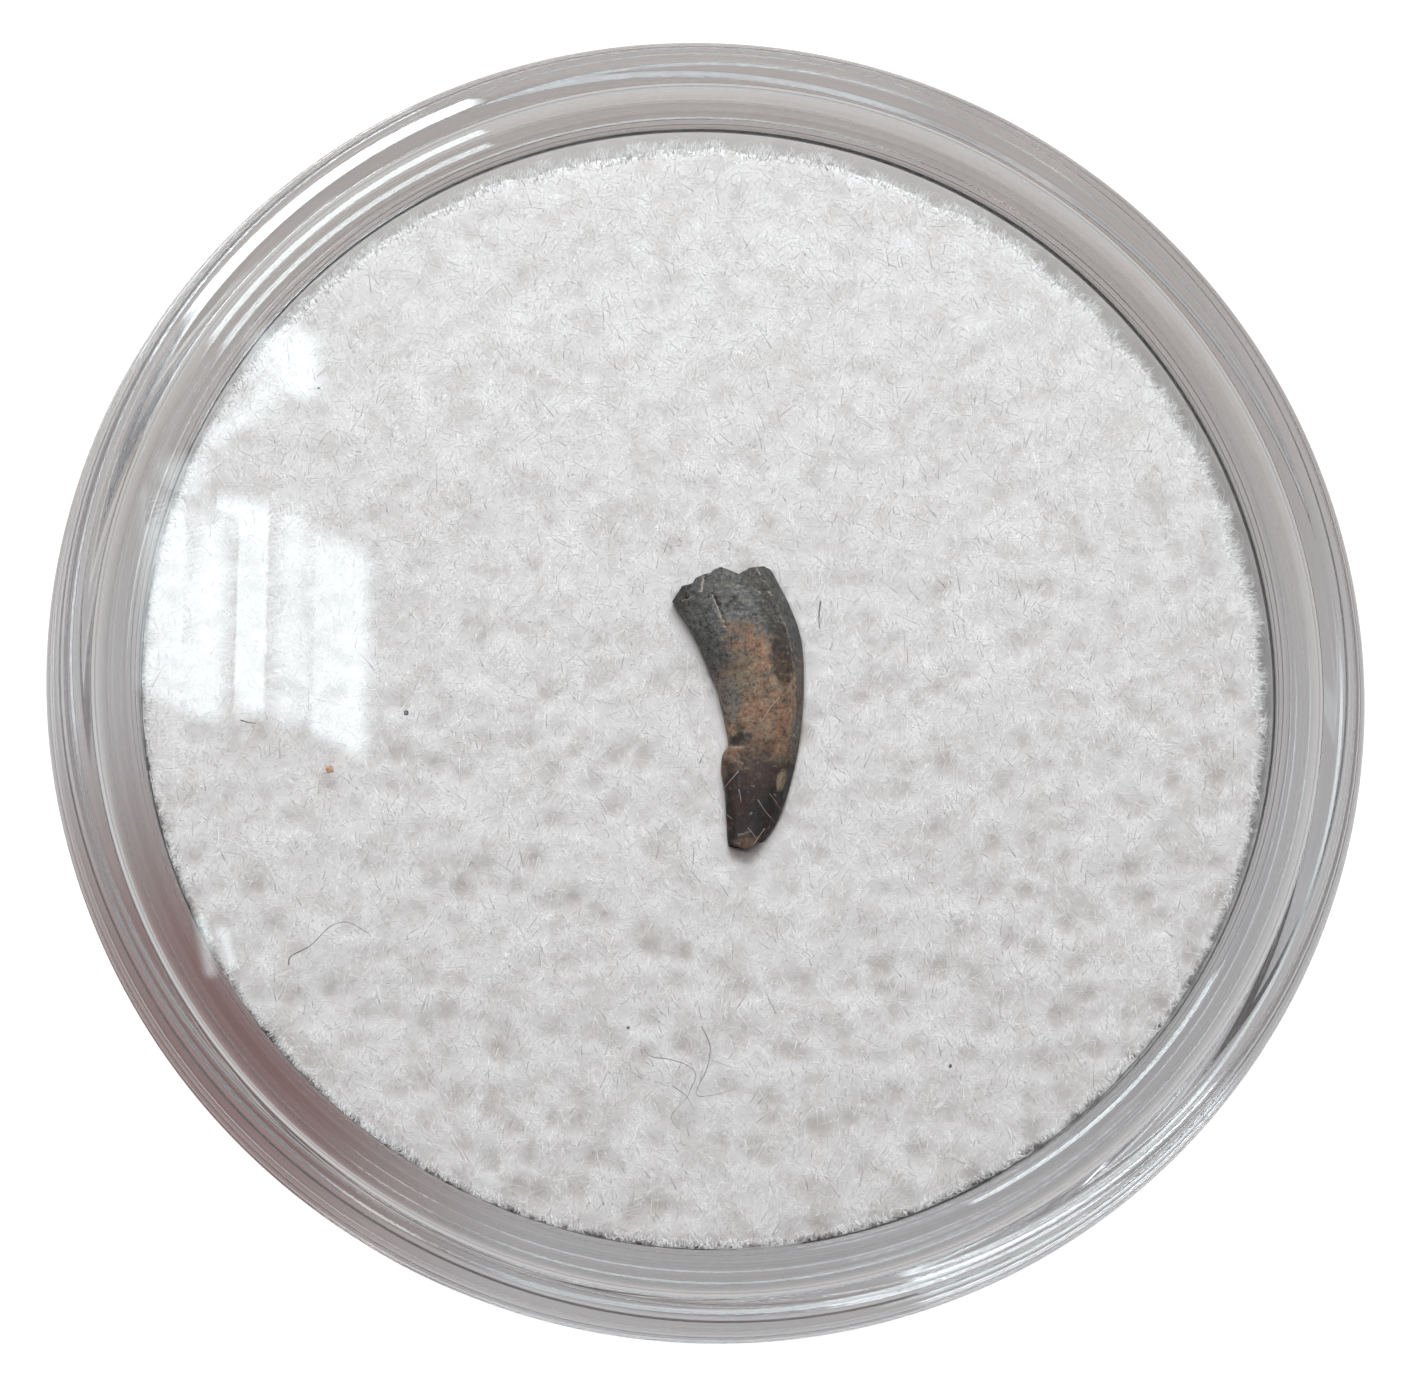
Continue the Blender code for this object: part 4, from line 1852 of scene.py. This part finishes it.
@dataclass(frozen=True)
class WindowPane:
    """A soft-edged bright pane that is seen only where the clear box reflects it."""

    name: str
    centre: Spot
    size: Spot
    brightness: float
    fade: float = 1.4
    turn: float = 0.0
    slope: float = 0.0
    height: float = 400.0
    dim_side: float = 0.62
    flare: float = 0.0
    colour: Colour = (0.84, 0.97, 1.0)

    def build(self) -> None:
        """Adds the pane, level, brighter to its right."""
        width, depth = self.size
        half = Vector((width / 2 + self.fade, depth / 2 + self.fade))
        corners = [(-half.x, -half.y), (half.x, -half.y), (half.x, half.y), (-half.x, half.y)]
        turn = Matrix.Rotation(self.turn, 2)
        points = []
        for x, y in corners:
            wide = 1 + self.flare * (1 if y > 0 else -1)
            placed = turn @ Vector((x * wide, y + self.slope * x))
            points.append((self.centre[0] + placed.x, self.centre[1] + placed.y, self.height))
        material, graph, _, output = new_material(self.name)
        where = graph.add("ShaderNodeSeparateXYZ", {0: graph.add("ShaderNodeUVMap").outputs[0]})
        mask = graph.ramp(where.outputs[0], 0.0, 0.9, self.dim_side, 1.0)
        for axis, full in ((0, half.x), (1, half.y)):
            off = graph.math("ABSOLUTE", graph.minus(where.outputs[axis], 0.5))
            side = graph.ramp(off, 0.5 - self.fade / full, 0.5, 1.0, 0.0)
            mask = graph.times(mask, side)
        glow = graph.add("ShaderNodeEmission", {"Color": self.colour})
        graph.link(graph.times(mask, self.brightness), glow.inputs["Strength"])
        graph.link(glow.outputs[0], output.inputs["Surface"])
        material.cycles.emission_sampling = "NONE"
        pane = mesh_object(self.name, np.array(points) * MM, np.array([(0, 2, 1), (0, 3, 2)]), material)
        layer = pane.data.uv_layers.new(name="pane")
        square = np.array([(0, 0), (1, 1), (1, 0), (0, 0), (0, 1), (1, 1)], np.float32)
        layer.uv.foreach_set("vector", square.ravel())
        pane.visible_camera = False
        pane.visible_diffuse = False
        pane.visible_shadow = False


@dataclass(frozen=True)
class Studio:
    """A pale floor that glows by itself, a soft sky, soft lamps and a window high up."""

    floor_size: float = 3.0
    floor_tone: float = 0.16
    floor_glow: float = 0.47
    backdrop_glow: float = 0.95
    # Painted light: glow colours of the floor for every ray but the camera's, seen bent in the rim and
    # lighting the box.
    floor_plain: Colour = (0.99, 0.99, 1.0)
    brown_glow: Colour = (0.84, 0.76, 0.71)
    red_glow: Colour = (0.50, 0.29, 0.27)
    red_glow_place: Place = (-19.0 * MM, -13.0 * MM, 0.0)
    low: float = 0.50
    middle: float = 0.80
    overhead: float = 0.05
    warm: Colour = (1.0, 0.955, 0.94)
    cool: Colour = (0.97, 0.99, 1.0)
    sky_brightness: float = 0.78
    plastic_bounces: int = 24
    diffuse_bounces: int = 3
    lamps: tuple[Softbox, ...] = (
        Softbox("overhead_softbox", (-0.06, 0.10, 0.45), (0.55, 0.55), 1.23, (1.0, 0.928, 0.925)),
        Softbox("back_softbox", (-0.005, 0.105, 0.100), (0.120, 0.060), 9.0, (0.91, 0.978, 1.0)),
    )
    panes: tuple[WindowPane, ...] = (
        WindowPane("pane_1", (-46.2, 85.6), (12.6, 32.0), 4.4, fade=2.0, slope=-0.45),
        WindowPane("pane_2", (-36.0, 86.0), (16.4, 34.0), 4.0, fade=2.0, slope=-0.15, dim_side=0.8),
        WindowPane("pane_3", (-24.4, 81.5), (13.8, 33.0), 3.7, fade=2.0, slope=-0.45),
        WindowPane("pane_4", (-31.5, 125.5), (10.5, 11.0), 3.4, fade=2.2),
        WindowPane("pane_5", (-38.5, 116.0), (15.0, 3.6), 2.4, fade=1.6, turn=math.radians(43)),
        WindowPane("pane_6", (-47.0, 105.0), (7.0, 9.0), 2.8, fade=2.0),
        WindowPane("pane_7", (-41.2, 32.5), (1.6, 9.5), 3.8, fade=0.9, turn=math.radians(12)),
        WindowPane("pane_8", (-37.8, 32.3), (1.3, 6.8), 3.0, fade=0.8, turn=math.radians(20)),
        WindowPane(
            "rim_pane", (-147.0, 317.0), (175.0, 330.0), 22.0, 10.0, math.radians(34), dim_side=1.0, flare=0.5
        ),
        WindowPane("front_pane", (70.0, -205.0), (280.0, 110.0), 5.5, fade=20.0, dim_side=1.0),
        WindowPane(
            "left_pane", (-102.0, -166.0), (70.0, 50.0), 7.0, 12.0, dim_side=1.0, colour=(1.0, 0.97, 0.90)
        ),
        WindowPane("side_pane", (245.0, -20.0), (80.0, 220.0), 6.0, fade=20.0, dim_side=1.0),
    )

    def build(self) -> None:
        """Adds the floor, the sky, the lamps and the window's panes."""
        self._floor()
        self._sky()
        for light in (*self.lamps, *self.panes):
            light.build()
        scene = bpy.context.scene
        scene.view_settings.view_transform = "Standard"
        scene.view_settings.look = "None"
        paths = scene.cycles
        paths.caustics_reflective = False
        paths.caustics_refractive = False
        paths.max_bounces = self.plastic_bounces
        paths.glossy_bounces = self.plastic_bounces
        paths.transmission_bounces = self.plastic_bounces
        paths.diffuse_bounces = self.diffuse_bounces

    def _floor(self) -> None:
        """The floor under the box: it glows white as a backdrop, and softer and warmer in what the rim bends
        and in the light that it sheds, which is painted light of the surroundings.
        """
        half = self.floor_size / 2
        corners = np.array([(-half, -half, 0), (half, -half, 0), (half, half, 0), (-half, half, 0)])
        material, graph, shader, _ = new_material("pale_floor")
        shader.inputs["Base Color"].default_value = (self.floor_tone,) * 3 + (1.0,)
        shader.inputs["Roughness"].default_value = 0.9
        shader.inputs["Specular IOR Level"].default_value = 0.0
        place = graph.place()
        spot = graph.add("ShaderNodeVectorMath", {0: place, 1: self.red_glow_place}, operation="DISTANCE")
        away = graph.add("ShaderNodeSeparateXYZ", {0: place}).outputs[1]
        tone = graph.mix(graph.ramp(away, -4 * MM, 16 * MM), self.floor_plain, self.brown_glow)
        tone = graph.mix(graph.ramp(spot.outputs["Value"], 5 * MM, 15 * MM, 1.0, 0.0), tone, self.red_glow)
        # Painted light: for every ray but the camera's, the floor glows in brown and red tints at a lower
        # strength.
        seen = graph.add("ShaderNodeLightPath").outputs["Is Camera Ray"]
        graph.link(graph.mix(seen, tone, (1.0, 1.0, 1.0)), shader.inputs["Emission Color"])
        glow = graph.ramp(seen, 0.0, 1.0, self.floor_glow, self.backdrop_glow)
        graph.link(glow, shader.inputs["Emission Strength"])
        material.cycles.emission_sampling = "NONE"
        floor = mesh_object("floor", corners, np.array([(0, 1, 2), (0, 2, 3)]), material)

    def _sky(self) -> None:
        """A soft sky: brightest half way up, dark right overhead, warmer towards the front."""
        world = bpy.data.worlds.new("soft_sky")
        world.use_nodes = True
        bpy.context.scene.world = world
        graph = Graph(world.node_tree)
        background = world.node_tree.nodes["Background"]
        way = graph.add("ShaderNodeSeparateXYZ", {0: graph.add("ShaderNodeTexCoord").outputs["Generated"]})
        rising = graph.ramp(way.outputs[2], 0.0, 0.35, self.low, self.middle)
        tone = graph.times(rising, graph.ramp(way.outputs[2], 0.80, 0.90, 1.0, self.overhead))
        tint = graph.mix(graph.ramp(way.outputs[1], -0.7, 0.7), self.warm, self.cool)
        graph.link(tint, background.inputs["Color"])
        graph.link(graph.times(tone, self.sky_brightness), background.inputs["Strength"])


def main() -> None:
    """Builds and dresses every piece, in order."""
    logging.basicConfig(level=logging.INFO, format="%(name)s: %(message)s")
    PhotoCamera().build()
    Studio().build()
    effects = Effects.build()
    Base().build(ClearPlastic("clear_base_plastic"), effects)
    Lid().build(ClearPlastic("clear_lid_plastic"), effects)
    tooth = Tooth()
    tooth_object = tooth.build(FossilEnamel(), effects)
    pad = FibrePad(outline=tooth.outline(), rng=np.random.default_rng(20))
    # The body's colours are darker than the fibres': painted shade under the down and fluff, which cast no
    # shadow.
    core = WhiteFibre("pad_core", (0.78, 0.765, 0.76), (0.68, 0.655, 0.64))
    down = WhiteFibre("pad_down", (0.885, 0.875, 0.875), (0.82, 0.805, 0.80), 0.7, upward=0.55)
    fluff = WhiteFibre("pad_fluff", (0.985, 0.985, 0.985), (0.94, 0.935, 0.935), 0.7, upward=0.45)
    pad.build(core, down, fluff, effects)
    finishes = {
        Strand.WHITE: PlainHair("stray_white", (0.66, 0.61, 0.55), (0.42, 0.37, 0.32)).material(effects),
        Strand.DARK: PlainHair("dark_hair", (0.06, 0.06, 0.07), (0.14, 0.14, 0.15)).material(effects),
        Strand.RUST: PlainHair("rust_grain", (0.42, 0.20, 0.10), (0.60, 0.36, 0.22)).material(effects),
        Strand.FAINT: PlainHair("faint_hair", (0.22, 0.21, 0.21), (0.40, 0.38, 0.37)).material(effects),
    }
    LooseStrands(pad, tooth, tooth_object).build(finishes)
    log.info("all pieces are in place")


if __name__ == "__main__":
    main()
